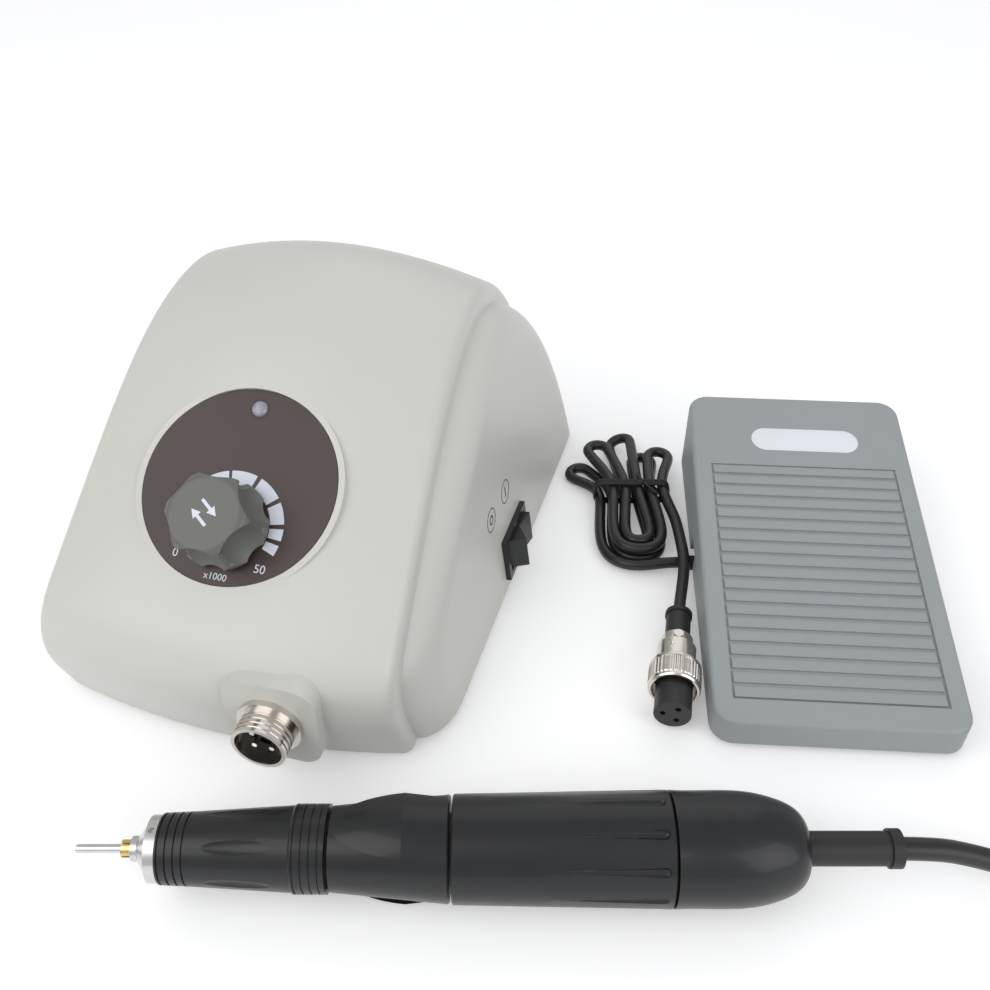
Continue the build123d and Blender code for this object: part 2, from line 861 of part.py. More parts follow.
def rocker_key():
    width = switch_height - bezel_wall * 2 - fit_gap * 2
    high = rocker_reach + rocker_pivot_depth
    valley = rocker_valley + rocker_pivot_depth
    tip = rocker_half_length(high)
    heel = rocker_half_length(0)
    outline = Polyline(
        (-heel, 0), (-tip, high), (0, valley), (tip, high), (heel, 0), (rocker_keel, -rocker_keel),
        (-rocker_keel, -rocker_keel), close=True,
    )
    key = extrude(Plane.XZ * Face(Wire(outline.edges())), amount=width / 2, both=True)
    pin = Rot(90, 0, 0) * Pos(0, 0, -width / 2 - rocker_pin_bite) * rod(
        rocker_pin_radius, width + rocker_pin_bite * 2
    )
    return switch_place() * Pos(0, 0, -rocker_pivot_depth) * Rot(0, rocker_tilt, 0) * (key + pin)


def inlet_place():
    return back_place(inlet_x)


def drawer_place():
    return inlet_place() * Pos(0, -drawer_drop, inlet_flange_thickness)


def power_inlet():
    body = Pos(0, 0, -inlet_depth) * block(inlet_side, inlet_side, inlet_depth)
    body = body + rounded_bar(
        inlet_flange_side, inlet_flange_side, inlet_flange_thickness, inlet_flange_radius
    )
    half_width = inlet_cavity_width / 2
    half_height = inlet_cavity_height / 2
    outline = Polyline(
        (-half_width, half_height), (half_width, half_height),
        (half_width, -half_height + inlet_chamfer), (half_width - inlet_chamfer, -half_height),
        (-half_width + inlet_chamfer, -half_height), (-half_width, -half_height + inlet_chamfer),
        close=True,
    )
    cavity = extrude(
        Face(Wire(outline.edges())), amount=inlet_cavity_depth + inlet_flange_thickness, dir=(0, 0, 1)
    )
    body = body - Pos(0, inlet_cavity_rise, -inlet_cavity_depth) * cavity
    slot = block(drawer_width + fit_gap * 2, drawer_height + fit_gap * 2, drawer_depth * 2)
    body = body - drawer_place_in_inlet() * Pos(0, 0, -drawer_depth - fit_gap) * slot
    for x, y in inlet_pin_points():
        body = body - Pos(x, y, -inlet_depth + inlet_pin_thickness) * block(
            inlet_pin_width, inlet_pin_thickness, inlet_depth
        )
    return inlet_place() * body


def drawer_place_in_inlet():
    return Pos(0, -drawer_drop, inlet_flange_thickness)


def inlet_pin_points():
    low = inlet_cavity_rise - inlet_pin_stagger
    return [(-inlet_pin_pitch, low), (0, low + inlet_pin_stagger * 2), (inlet_pin_pitch, low)]


def inlet_pins():
    low = -inlet_depth + inlet_pin_thickness
    pin = block(inlet_pin_width, inlet_pin_thickness, inlet_pin_length - inlet_cavity_depth - low)
    pins = [inlet_place() * Pos(x, y, low) * pin for x, y in inlet_pin_points()]
    return Compound(pins)


def fuse_drawer():
    drawer = Pos(0, 0, -drawer_depth) * block(drawer_width, drawer_height, drawer_depth)
    drawer = drawer + block(drawer_width + fit_gap * 4, drawer_height + fit_gap * 4, drawer_face)
    trough = Pos(0, drawer_wall, -drawer_depth + drawer_wall) * block(
        drawer_width - drawer_wall * 2, drawer_height, drawer_depth - drawer_wall * 2
    )
    return drawer_place() * (drawer - trough)


def glass_fuse():
    fuse = Pos(-fuse_length / 2, 0, 0) * Rot(0, 90, 0) * rod(fuse_radius, fuse_length)
    rest = drawer_wall - drawer_height / 2 + fuse_radius
    return drawer_place() * Pos(0, rest, -fuse_inset) * fuse


def pedal_socket():
    barrel = ribbed_barrel(
        lead_thread_radius, lead_bore_radius, lead_socket_reach, socket_ribs - 1, socket_rib_pitch,
        socket_rib_depth, socket_rib_width,
    )
    barrel = barrel + tube(lead_flange_radius, lead_bore_radius, lead_flange_thickness)
    core = Pos(0, 0, -lead_socket_tail) * rod(
        lead_tail_radius, lead_socket_tail + lead_socket_reach - lead_insert_depth
    )
    pin = rod(plug_hole_radius - fit_gap / 2, lead_insert_depth - socket_rib_pitch + overrun)
    for peg in pin_circle(pin, plug_hole_circle, plug_hole_count, plug_hole_turn):
        core = core + Pos(0, 0, lead_socket_reach - lead_insert_depth - overrun) * peg
    return back_place(lead_socket_x) * (barrel + core)


def core_place():
    return Pos(core_x, core_y, base_top())


def transformer_core():
    core = block(core_width, core_stack, core_height)
    window = (core_width - middle_limb_width) / 2 - limb_width
    for side in (-1, 1):
        x = side * (middle_limb_width + window) / 2
        gap = block(window, core_stack + overrun, core_height - limb_width * 2)
        core = core - Pos(x, 0, limb_width) * gap
    return core_place() * core


def transformer_winding():
    height = core_height - limb_width * 2 - fit_gap * 2
    window = (core_width - middle_limb_width) / 2 - limb_width
    width = middle_limb_width + (window - fit_gap) * 2
    coil = rounded_bar(width, core_stack + winding_proud * 2, height, winding_corner)
    coil = coil - block(middle_limb_width + shaft_gap * 2, core_stack + shaft_gap * 2, height)
    return core_place() * Pos(0, 0, limb_width + fit_gap) * coil


def board_top():
    return base_top() + standoff_height + board_thickness


def control_board():
    board = Pos(board_x, board_y, board_top() - board_thickness) * block(
        board_width, board_length, board_thickness
    )
    near = board_y - board_length / 2
    place = (board_x, near + cap_radius * 2, board_top())
    board = board + Pos(*place) * rod(cap_radius, cap_height)
    board = board + Pos(board_x, near + cap_radius * 4 + relay_side / 2, board_top()) * block(
        relay_side, relay_side, relay_height
    )
    return board


def heat_sink():
    far = board_y + board_length / 2
    sink = Pos(0, sink_depth / 2, 0) * block(board_width, sink_back, sink_height)
    pitch = (board_width - sink_fin) / (sink_fins - 1)
    for k in range(sink_fins):
        x = (k - (sink_fins - 1) / 2) * pitch
        sink = sink + Pos(x, 0, 0) * block(sink_fin, sink_depth, sink_height)
    return Pos(board_x, far - sink_depth, board_top()) * sink


def pedal_place():
    return Pos(pedal_x, pedal_y, 0) * Rot(0, 0, pedal_yaw)


def treadle_slope():
    return degrees(asin((pedal_back_height - pedal_front_height) / pedal_length))


def treadle_height(y):
    """Height of the treadle's upper face at a distance from the pedal's near edge."""
    return pedal_front_height + (pedal_back_height - pedal_front_height) * y / pedal_length


def under_treadle(y):
    return treadle_height(y) - treadle_wall / cos(radians(treadle_slope()))


def wedge(half_width, near, far, corners, skirt, drop):
    """The treadle's wedge between two distances, its top lowered by drop, its skirt at skirt."""
    plan = RectangleRounded(half_width * 2, far - near, corners) if corners else Rectangle(
        half_width * 2, far - near
    )
    prism = Pos(0, (near + far) / 2, 0) * extrude(plan, amount=pedal_back_height * 2)
    side = Polyline(
        (-overrun, skirt[0]), (-overrun, treadle_height(-overrun) - drop),
        (pedal_length + overrun, treadle_height(pedal_length + overrun) - drop),
        (pedal_length + overrun, skirt[1]), close=True,
    )
    slab = extrude(Plane.YZ * Face(Wire(side.edges())), amount=half_width + overrun, both=True)
    return prism & slab


def pedal_treadle():
    drop = treadle_wall / cos(radians(treadle_slope()))
    wall = treadle_wall
    body = wedge(pedal_width / 2, 0, pedal_length, treadle_corner, (skirt_front_z, skirt_back_z), 0)
    top_edges = body.faces().sort_by(Axis.Z)[-1].edges()
    body = fillet(top_edges, treadle_edge)
    body = body - wedge(
        pedal_width / 2 - wall, wall, pedal_length - wall, treadle_corner - wall, (-overrun, -overrun), drop
    )
    # Ribbed field
    top = Pos(0, 0, pedal_front_height) * Rot(treadle_slope(), 0, 0)
    length = hypot(pedal_length, pedal_back_height - pedal_front_height)
    field = length - tread_near - tread_far
    width = pedal_width - tread_side * 2
    body = body - top * Pos(0, tread_near + field / 2, -tread_depth) * block(width, field, tread_depth * 2)
    pitch = field / slat_count
    points = [(tread_near, -tread_depth)]
    for k in range(slat_count):
        y = tread_near + pitch * k
        points += [(y + slat_gap, -tread_depth), (y + slat_gap, slat_rise - tread_depth)]
        points += [(y + pitch - slat_fall, slat_fall - tread_depth), (y + pitch - slat_fall, -tread_depth)]
    points += [(length - tread_far, -tread_depth), (length - tread_far, -tread_depth - slat_rise)]
    points += [(tread_near, -tread_depth - slat_rise)]
    comb = Face(Wire(Polyline(*points, close=True).edges()))
    body = body + top * extrude(Plane.YZ * comb, amount=width / 2 - slat_gap, both=True)
    # Hinge lugs, spring cup and the switch's pusher
    for side in (-1, 1):
        lug = Pos(side * lug_x, hinge_y, hinge_z) * Rot(0, 90, 0) * Pos(0, 0, -lug_thickness / 2)
        lug = lug * rod(lug_radius, lug_thickness)
        web = Pos(side * lug_x, hinge_y, hinge_z) * block(
            lug_thickness, lug_radius * 2, under_treadle(hinge_y) - hinge_z + treadle_wall / 2
        )
        body = body + lug + (web & wedge(
            pedal_width / 2 - wall, wall, pedal_length - wall, 0, (-overrun, -overrun), wall / 2
        ))
    inside = wedge(pedal_width / 2 - wall, wall, pedal_length - wall, 0, (-overrun, -overrun), wall / 2)
    cup_low = spring_top()
    cup = Pos(0, spring_y, cup_low) * rod(spring_cup_radius, pedal_back_height)
    peg = Pos(0, spring_y, cup_low - spring_peg_height) * rod(spring_peg_radius, pedal_back_height)
    pusher = Pos(micro_x, hinge_y + switch_arm, pusher_low()) * rod(pusher_radius, pedal_back_height)
    for post in (cup, peg, pusher):
        body = body + (post & inside)
    pin = Pos(-pedal_width / 2 + wall, hinge_y, hinge_z) * Rot(0, 90, 0) * rod(
        hinge_pin_radius + shaft_gap, pedal_width - wall * 2
    )
    body = body - pin
    slot_top = gland_z + gland_collar_radius + gland_slot_gap + treadle_drop(gland_y)
    slot = box_between(
        (-pedal_width / 2 - overrun, gland_y - gland_collar_radius - gland_slot_gap, 0),
        (-pedal_width / 2 + wall + overrun, gland_y + gland_collar_radius + gland_slot_gap, slot_top),
    )
    return pedal_place() * (body - slot)


def treadle_drop(y):
    return (y - hinge_y) * sin(radians(pedal_travel))


def spring_top():
    return under_treadle(spring_y - spring_cup_radius) - spring_cup_drop


def pusher_low():
    return tray_low + tray_floor + micro_height + plunger_reach + fit_gap


def pedal_base():
    half = pedal_width / 2 - treadle_wall - tray_gap
    near = treadle_wall + tray_gap
    far = pedal_length - near
    corner = treadle_corner - near
    tray = rounded_bar(half * 2, far - near, tray_top - tray_low, corner)
    tray = Pos(0, (near + far) / 2, tray_low) * tray
    tray = tray - Pos(0, (near + far) / 2, tray_low + tray_floor) * rounded_bar(
        (half - tray_wall) * 2, far - near - tray_wall * 2, tray_top, corner - tray_wall / 2
    )
    floor = tray_low + tray_floor
    for side in (-1, 1):
        x = side * (lug_x - lug_thickness - fit_gap)
        lug = Pos(x, hinge_y, hinge_z) * Rot(0, 90, 0) * Pos(0, 0, -lug_thickness / 2)
        foot = Pos(x, hinge_y, floor - tray_floor / 2) * block(
            lug_thickness, lug_radius * 2, hinge_z - floor + tray_floor / 2
        )
        tray = tray + lug * rod(lug_radius, lug_thickness) + foot
    tray = tray + Pos(0, spring_y, floor - tray_floor / 2) * rod(
        spring_peg_radius, spring_peg_height + tray_floor / 2
    )
    pin = Pos(-lug_x, hinge_y, hinge_z) * Rot(0, 90, 0) * rod(hinge_pin_radius, lug_x * 2)
    hole = gland_place() * Pos(0, 0, -gland_root - tray_wall) * rod(
        gland_radius + shaft_gap, gland_root + tray_wall * 2
    )
    clamp = gland_place() * Pos(0, 0, -gland_root - tray_wall) * rod(
        gland_collar_radius + shaft_gap, gland_root
    )
    return pedal_place() * (tray - pin) - hole - clamp


def pedal_feet():
    inset = treadle_wall + tray_gap + pedal_foot_inset
    points = [
        (side * (pedal_width / 2 - inset), y)
        for side in (-1, 1) for y in (inset, pedal_length - inset)
    ]
    return pedal_place() * Compound([Pos(x, y, 0) * rod(pedal_foot_radius, tray_low) for x, y in points])


def hinge_pin():
    half = lug_x + lug_thickness / 2 + pin_overhang
    return pedal_place() * Pos(-half, hinge_y, hinge_z) * Rot(0, 90, 0) * rod(hinge_pin_radius, half * 2)


def micro_switch():
    body = block(micro_width, micro_length, micro_height)
    slot = Pos(0, 0, micro_height - plunger_in) * block(
        plunger_width + shaft_gap * 2, plunger_length + shaft_gap * 2, micro_height
    )
    place = Pos(micro_x, hinge_y + switch_arm, tray_low + tray_floor)
    return pedal_place() * place * (body - slot)


def switch_plunger():
    low = tray_low + tray_floor + micro_height - plunger_in + plunger_reach
    place = Pos(micro_x, hinge_y + switch_arm, low)
    return pedal_place() * place * block(plunger_width, plunger_length, plunger_in)


def pedal_spring():
    low = tray_low + tray_floor + spring_wire
    high = spring_top() - spring_wire
    steps = spring_turns * 4
    rise = (high - low) / (spring_turns * 2 * pi * spring_radius)
    stations = []
    for n in range(steps + 1):
        turn = n * pi / 2
        point = Vector(spring_radius * cos(turn), spring_radius * sin(turn), 0)
        along = Vector(-sin(turn), cos(turn), rise).normalized()
        stations.append((point + Vector(0, spring_y, place_share(low, high, n / steps)), along))
    return pedal_place() * swept_cord(stations, spring_wire, wire_sides)


def gland_place():
    """The gland's frame on the tray's left wall: +Z out of the wall."""
    wall_x = -pedal_width / 2 + treadle_wall + tray_gap
    return pedal_place() * Pos(wall_x, gland_y, gland_z) * Rot(0, -90, 0)


def pedal_gland():
    length = gland_reach + tray_wall + gland_root
    body = Pos(0, 0, gland_reach - length) * rod(gland_radius, length)
    body = body + Pos(0, 0, shaft_gap) * rod(gland_collar_radius, gland_collar_length)
    clamp = rod(gland_collar_radius, gland_root - shaft_gap * 2)
    return gland_place() * (body + Pos(0, 0, shaft_gap - tray_wall - gland_root) * clamp)


def biarc(p0, t0, p1, t1):
    """Two tangent arcs from a point and direction to the next."""
    v = p1 - p0
    t = t0 + t1
    a = 2 * (1 - t0.dot(t1))
    b = 2 * v.dot(t)
    c = v.dot(v)
    d = 2 * c / (b + sqrt(b * b + 4 * a * c))
    q0 = p0 + t0 * d
    q1 = p1 - t1 * d
    joint = (q0 + q1) * 0.5
    turn = (q1 - q0).normalized()
    return [arc_or_line(p0, t0, joint), arc_or_line(joint, turn, p1)]


def arc_or_line(start, tangent, end):
    if tangent.cross((end - start).normalized()).length < 1e-4:
        return Line(start, end)
    return TangentArc(start, end, tangent=tangent)


def cord_path(stations):
    """A smooth path of tangent arcs through stations, each a point and a direction."""
    edges = []
    for (p0, t0), (p1, t1) in zip(stations, stations[1:]):
        edges += biarc(p0, t0, p1, t1)
    return edges


def swept_cord(stations, radius, sides=cord_sides):
    start, along = stations[0]
    section = Plane(origin=start, z_dir=along) * RegularPolygon(radius, sides)
    return sweep(section, path=Wire(cord_path(stations)))


def through(start, along, points, end, inward):
    """Stations from a start to an end through points, each heading from its neighbour to the next."""
    route = [start, *(Vector(*point) for point in points), end]
    middle = [(b, (c - a).normalized()) for a, b, c in zip(route, route[1:], route[2:])]
    return [(start, along), *middle, (end, inward)]


def least_radius(stations):
    return min(edge.radius for edge in cord_path(stations) if edge.geom_type == GeomType.CIRCLE)


def least_gap(stations, radius):
    """Least free distance between stretches of a cord that lie beside each other."""
    walk = []
    run = 0
    for edge in cord_path(stations):
        steps = ceil(edge.length * 2 / radius)
        for n in range(steps):
            walk.append((run + edge.length * n / steps, tuple(edge @ (n / steps))))
        run += edge.length
    apart = radius * loop_share
    pairs = [dist(a, b) for i, (s, a) in enumerate(walk) for t, b in walk[i + 1:] if t - s > apart]
    return min(pairs) - radius * 2


def hank_place(x, y, z):
    return Vector(hank_x + x, y, z)


def hank_column(k, layer, way):
    """Where strand k crosses the tie, heading along Y by way."""
    z = hank_z + hank_step * layer + hank_waist_lift
    return hank_place((3.5 - k) * hank_step, hank_waist_y, z), Vector(0, way, 0)


def ring_half(k):
    """Half width of the turn that strand k belongs to, in the ring below the tie."""
    return abs(3.5 - k) * hank_step + hank_ring_gain


def ring_turn(k, layer):
    """The round stretch of a turn, from its side at strand k to the other side."""
    side = 1 if k < 3.5 else -1
    half = ring_half(k)
    z = hank_z + hank_step * layer
    return [
        (hank_place(side * half, hank_ring_y, z), Vector(0, -1, 0)),
        (hank_place(0, hank_ring_y - half, z), Vector(-side, 0, 0)),
        (hank_place(-side * half, hank_ring_y, z), Vector(0, 1, 0)),
    ]


def ear(base, lean, height, side, low, high):
    """A fold beyond the tie: up on the side that it comes from, round, and down on the other."""
    turn = radians(lean)
    along = Vector(sin(turn), cos(turn), 0)
    across = Vector(cos(turn), -sin(turn), 0) * side
    middle = hank_place(base, hank_waist_y, 0) + along * height
    z0 = hank_z + hank_step * low
    z1 = hank_z + hank_step * high
    return [
        (middle - across * ear_half_width + Vector(0, 0, z0), along),
        (middle + along * ear_half_width + Vector(0, 0, (z0 + z1) / 2), across),
        (middle + across * ear_half_width + Vector(0, 0, z1), along * -1),
    ]


def hank_stations():
    """The lead's path from the gland through the hank: strands 1 to 6 run from right to left."""
    gland = gland_place() * Pos(0, 0, gland_reach)
    start = gland.position
    out = Plane(gland).z_dir
    low = (hank_place(0, hank_ring_y - ring_half(6), hank_z + hank_waist_lift), Vector(-1, 0, 0))
    left = (hank_place(-ring_half(6), hank_ring_y, hank_z), Vector(0, 1, 0))
    path = [(start, out), (start + out * lead_radius * 2, out), low, left, hank_column(6, 0, 1)]
    path += ear(-2 * hank_step, -32, 17.0, 1, 0, 0)
    path += [hank_column(5, 0, -1), *ring_turn(5, 0), hank_column(2, 0, 1)]
    path += ear(hank_step, 5, 21.0, -1, 0, 0)
    path += [hank_column(3, 0, -1), *ring_turn(3, 0), hank_column(4, 0, 1)]
    path += ear(0, -3, 30.0, 1, 0, 1)
    path += [hank_column(3, 1, -1), *ring_turn(3, 1), hank_column(4, 1, 1)]
    path += ear(-hank_step, -15, 24.0, -1, 1, 1)
    path += [hank_column(5, 1, -1), *ring_turn(5, 1), hank_column(2, 1, 1)]
    path += ear(2 * hank_step, 9, 19.0, 1, 1, 1)
    right = (hank_place(ring_half(1), hank_ring_y, hank_z + hank_step), Vector(0, -1, 0))
    path += [hank_column(1, 1, -1), right]
    return path


def tail_stations():
    """The lead's end between the hank and its plug: over the gland, then down to the boot."""
    start, along = hank_stations()[-1]
    plug = pedal_plug_place()
    return through(start, along, tail_points, plug.position, Plane(plug).z_dir)


def pedal_cord_hank():
    return swept_cord(hank_stations(), lead_radius)


def pedal_cord():
    return swept_cord(tail_stations(), lead_radius)


def pedal_plug_place():
    """The plug's frame at the mouth of its boot: +Z runs from the lead to the plug's tip."""
    turn = radians(pedal_plug_yaw)
    axis = Plane(
        origin=(pedal_plug_x, pedal_plug_y, plug_ring_radius), x_dir=(0, 0, 1),
        z_dir=(-sin(turn), -cos(turn), 0),
    )
    return axis.location


def tie_frame(grow):
    """Section of the hank's tie round all strands: grow is added to every side."""
    width = hank_step * 5 + lead_radius * 2 + (tie_gap + grow) * 2
    height = hank_step + lead_radius * 2 + (tie_gap + grow) * 2
    return rounded_bar(width, height, tie_width, tie_corner)


def hank_tie():
    middle = hank_z + hank_waist_lift + hank_step / 2
    tie = tie_frame(tie_thickness) - Pos(0, 0, -overrun) * extrude(
        tie_frame(0).faces().sort_by(Axis.Z)[0], amount=-tie_width - overrun * 2
    )
    return Pos(hank_x, hank_waist_y + tie_width / 2, middle) * Rot(90, 0, 0) * tie


def plug_boot(radius, length, collar_radius, collar_length):
    """A plug's rubber boot: the cord's end butts on its mouth."""
    return rod(radius, length) + rod(collar_radius, collar_length)


def plug_body(radius, length, clamp_radius, clamp_length, boot, thread, lap):
    """A plug's metal body from its cord clamp to the flange that holds the coupling ring."""
    bore = boot + shaft_gap
    flange = lap / 2 - fit_gap
    body = tube(radius, bore, length)
    body = body - tube(radius + overrun, clamp_radius, clamp_length)
    body = body + Pos(0, 0, length - flange) * tube(thread - fit_gap, bore, flange)
    for side in (-1, 1):
        screw = Pos(side * clamp_radius, 0, clamp_length / 2) * Rot(0, 90, 0) * Pos(0, 0, -screw_head_depth)
        body = body + screw * rod(screw_head_radius, screw_head_depth * 2)
    return body


def coupling_ring(radius, thread_radius, body_radius, length, lap):
    ring = tube(radius, thread_radius + shaft_gap, length)
    back = tube(radius, body_radius + shaft_gap, lap / 2)
    return chamfer_ends(ring + back, radius)


def chamfer_ends(ring, radius):
    """Breaks the outer edges at both ends of a turned ring."""
    circles = ring.edges().filter_by(GeomType.CIRCLE)
    rims = [edge for edge in circles if abs(edge.radius - radius) < shaft_gap]
    return chamfer(rims, ring_edge)


def plug_insert(radius, length, hole_radius, hole_circle, holes, hole_depth, turn):
    core = rod(radius, length)
    for hole in pin_circle(rod(hole_radius, hole_depth + overrun), hole_circle, holes, turn):
        core = core - Pos(0, 0, length - hole_depth) * hole
    return core


def pedal_plug_boot():
    boot = plug_boot(
        plug_boot_radius, plug_boot_length + plug_boot_root, plug_boot_collar_radius, plug_boot_collar_length
    )
    return pedal_plug_place() * boot


def pedal_plug_body():
    body = plug_body(
        plug_body_radius, plug_body_length, plug_clamp_radius, plug_clamp_length, plug_boot_radius,
        lead_thread_radius, plug_ring_lap,
    )
    return pedal_plug_place() * Pos(0, 0, plug_boot_length) * body


def pedal_plug_ring():
    start = plug_boot_length + plug_body_length - plug_ring_lap
    ring = coupling_ring(
        plug_ring_radius, lead_thread_radius, plug_body_radius, plug_ring_length, plug_ring_lap
    )
    return pedal_plug_place() * Pos(0, 0, start) * ring


def pedal_plug_insert():
    core = plug_insert(
        plug_insert_radius, plug_insert_reach, plug_hole_radius, plug_hole_circle, plug_hole_count,
        plug_hole_depth, plug_hole_turn,
    )
    return pedal_plug_place() * Pos(0, 0, plug_boot_length + plug_body_length) * core


def handpiece_profile(points):
    return handpiece_place() * turned([(radius, station) for radius, station in points])


def handpiece_place():
    """The handpiece's frame: +Z runs along its axis, stations are measured from its nose."""
    return Pos(handpiece_x, handpiece_y, handpiece_radius) * Rot(0, 90, 0)


def at_station(shape, station):
    return handpiece_place() * Pos(0, 0, station) * shape


def nose_cone():
    tip = cone_tip_station
    rim = sleeve_start - cone_rim_length
    neck = tip + cone_neck_length
    middle_radius = cone_tip_radius + (cone_radius - cone_tip_radius) * cone_waist_share
    lower = Polyline((cone_bore, tip), (cone_tip_radius, tip), (cone_tip_radius, neck))
    flank = ThreePointArc((cone_tip_radius, neck), (middle_radius, (neck + rim) / 2), (cone_radius, rim))
    bore_end = tip + cone_bore_length
    spigot_end = sleeve_start + cone_spigot_length
    rest = Polyline(
        (cone_radius, rim), (cone_radius, sleeve_start), (cone_spigot_radius, sleeve_start),
        (cone_spigot_radius, spigot_end), (spindle_radius + fit_gap, spigot_end),
        (spindle_radius + fit_gap, bore_end), (cone_bore, bore_end), (cone_bore, tip),
    )
    cone = revolved(Wire([*lower.edges(), flank, *rest.edges()]))
    hole = Pos(0, 0, sleeve_start - cone_rim_length / 2) * Rot(0, -90, 0) * Pos(
        0, 0, cone_radius - cone_hole_depth
    ) * rod(cone_hole_radius, cone_radius)
    return handpiece_place() * (cone - hole)


def front_sleeve():
    near = sleeve_start + ring_zone
    far = sleeve_end - ring_zone
    bearing_end = front_bearing_station + bearing_width + shaft_gap
    spigot_end = sleeve_start + cone_spigot_length + shaft_gap
    sleeve = turned([
        (cone_spigot_radius + shaft_gap, sleeve_start), (sleeve_nose_radius, sleeve_start),
        (sleeve_waist_radius, near), (sleeve_tail_radius - edge_break, far),
        (sleeve_tail_radius, far + edge_break), (sleeve_tail_radius, sleeve_end),
        (neck_radius + shaft_gap, sleeve_end), (neck_radius + shaft_gap, neck_start),
        (sleeve_bore, neck_start), (sleeve_bore, bearing_end), (bearing_radius + shaft_gap, bearing_end),
        (bearing_radius + shaft_gap, spigot_end), (cone_spigot_radius + shaft_gap, spigot_end),
    ])
    pitch = (ring_zone - ring_groove_width) / ring_count
    for k in range(ring_count):
        groove_near = sleeve_start + ring_groove_width + pitch * k
        groove_far = far + edge_break + ring_groove_width + pitch * k
        near_radius = place_share(sleeve_nose_radius, sleeve_waist_radius, k / ring_count)
        for station, radius in ((groove_near, near_radius), (groove_far, sleeve_tail_radius)):
            if station + ring_groove_width < sleeve_end:
                sleeve = sleeve - Pos(0, 0, station) * tube(
                    radius + overrun, radius - ring_groove_depth, ring_groove_width
                )
    middle = (near + far) / 2
    surface = (sleeve_waist_radius + sleeve_tail_radius) / 2
    half = dimple_length / 2
    bow = ThreePointArc(
        (dimple_radius - dimple_depth * 2, -half * sqrt(2)), (dimple_radius, 0),
        (dimple_radius - dimple_depth * 2, half * sqrt(2)),
    )
    tool = revolved(Wire([
        *Polyline((dimple_radius - dimple_depth * 2, half * sqrt(2)), (0, half * sqrt(2)),
                  (0, -half * sqrt(2)), (dimple_radius - dimple_depth * 2, -half * sqrt(2))).edges(), bow,
    ]))
    lean = degrees(atan2(sleeve_tail_radius - sleeve_waist_radius, far - near))
    for k in range(dimple_count):
        place = Rot(0, 0, 360 / dimple_count * (k + 1 / 2)) * Pos(
            surface + dimple_radius - dimple_depth, 0, middle
        ) * Rot(0, lean, 0)
        sleeve = sleeve - place * tool
    return handpiece_place() * sleeve


def chuck_ring():
    bore = neck_radius + shaft_gap
    cone = turned([
        (bore, chuck_start), (chuck_nose_radius - edge_break, chuck_start),
        (chuck_nose_radius, chuck_start + edge_break), (chuck_tail_radius, chuck_end - edge_break),
        (chuck_tail_radius - edge_break, chuck_end), (bore, chuck_end),
    ])
    widest = place_share(chuck_start, chuck_end, chuck_lobe_peak_share)
    front = ThreePointArc(
        (chuck_nose_radius, chuck_start + edge_break),
        (place_share(chuck_nose_radius, chuck_lobe_radius, chuck_lobe_swell_share),
         (chuck_start + widest) / 2),
        (chuck_lobe_radius, widest),
    )
    rest = Polyline(
        (chuck_lobe_radius, widest), (chuck_tail_radius, chuck_end - edge_break),
        (bore, chuck_end - edge_break), (bore, chuck_start + edge_break),
        (chuck_nose_radius, chuck_start + edge_break),
    )
    barrel = revolved(Wire([front, *rest.edges()]))
    slab = chuck_lobe_share * chuck_tail_radius
    middle = block(slab * 2, chuck_lobe_radius * 3, chuck_end - chuck_start)
    barrel = barrel - Pos(0, 0, chuck_start) * middle
    return handpiece_place() * (cone + barrel)


def motor_housing():
    end_radius = handpiece_radius
    bore = bearing_radius + shaft_gap
    bearing_end = middle_bearing_station + bearing_width + shaft_gap
    throat = spindle_radius + fit_gap
    housing = turned([
        (bore, neck_start + shaft_gap), (neck_radius, neck_start + shaft_gap), (neck_radius, motor_start),
        (motor_nose_radius - edge_break, motor_start), (motor_nose_radius, motor_start + edge_break),
        (end_radius, motor_end - edge_break), (end_radius - edge_break, motor_end), (motor_bore, motor_end),
        (motor_bore, motor_start + motor_front_wall), (throat, motor_start + motor_front_wall),
        (throat, bearing_end), (bore, bearing_end),
    ])
    slope = degrees(atan2(end_radius - motor_nose_radius, motor_end - motor_start))
    length = flute_end - flute_start
    tool = Cone(flute_radius / 4, flute_radius, length, align=(Align.CENTER, Align.CENTER, Align.MIN))
    tool = tool + Pos(0, 0, length) * Sphere(flute_radius)
    for k in range(flute_count):
        share = (flute_start - motor_start) / (motor_end - motor_start)
        radius = place_share(motor_nose_radius, end_radius, share) + flute_lift
        place = Rot(0, 0, 360 / flute_count * (k + 1 / 2)) * Pos(radius, 0, flute_start) * Rot(0, slope, 0)
        housing = housing - place * tool
    return handpiece_place() * housing


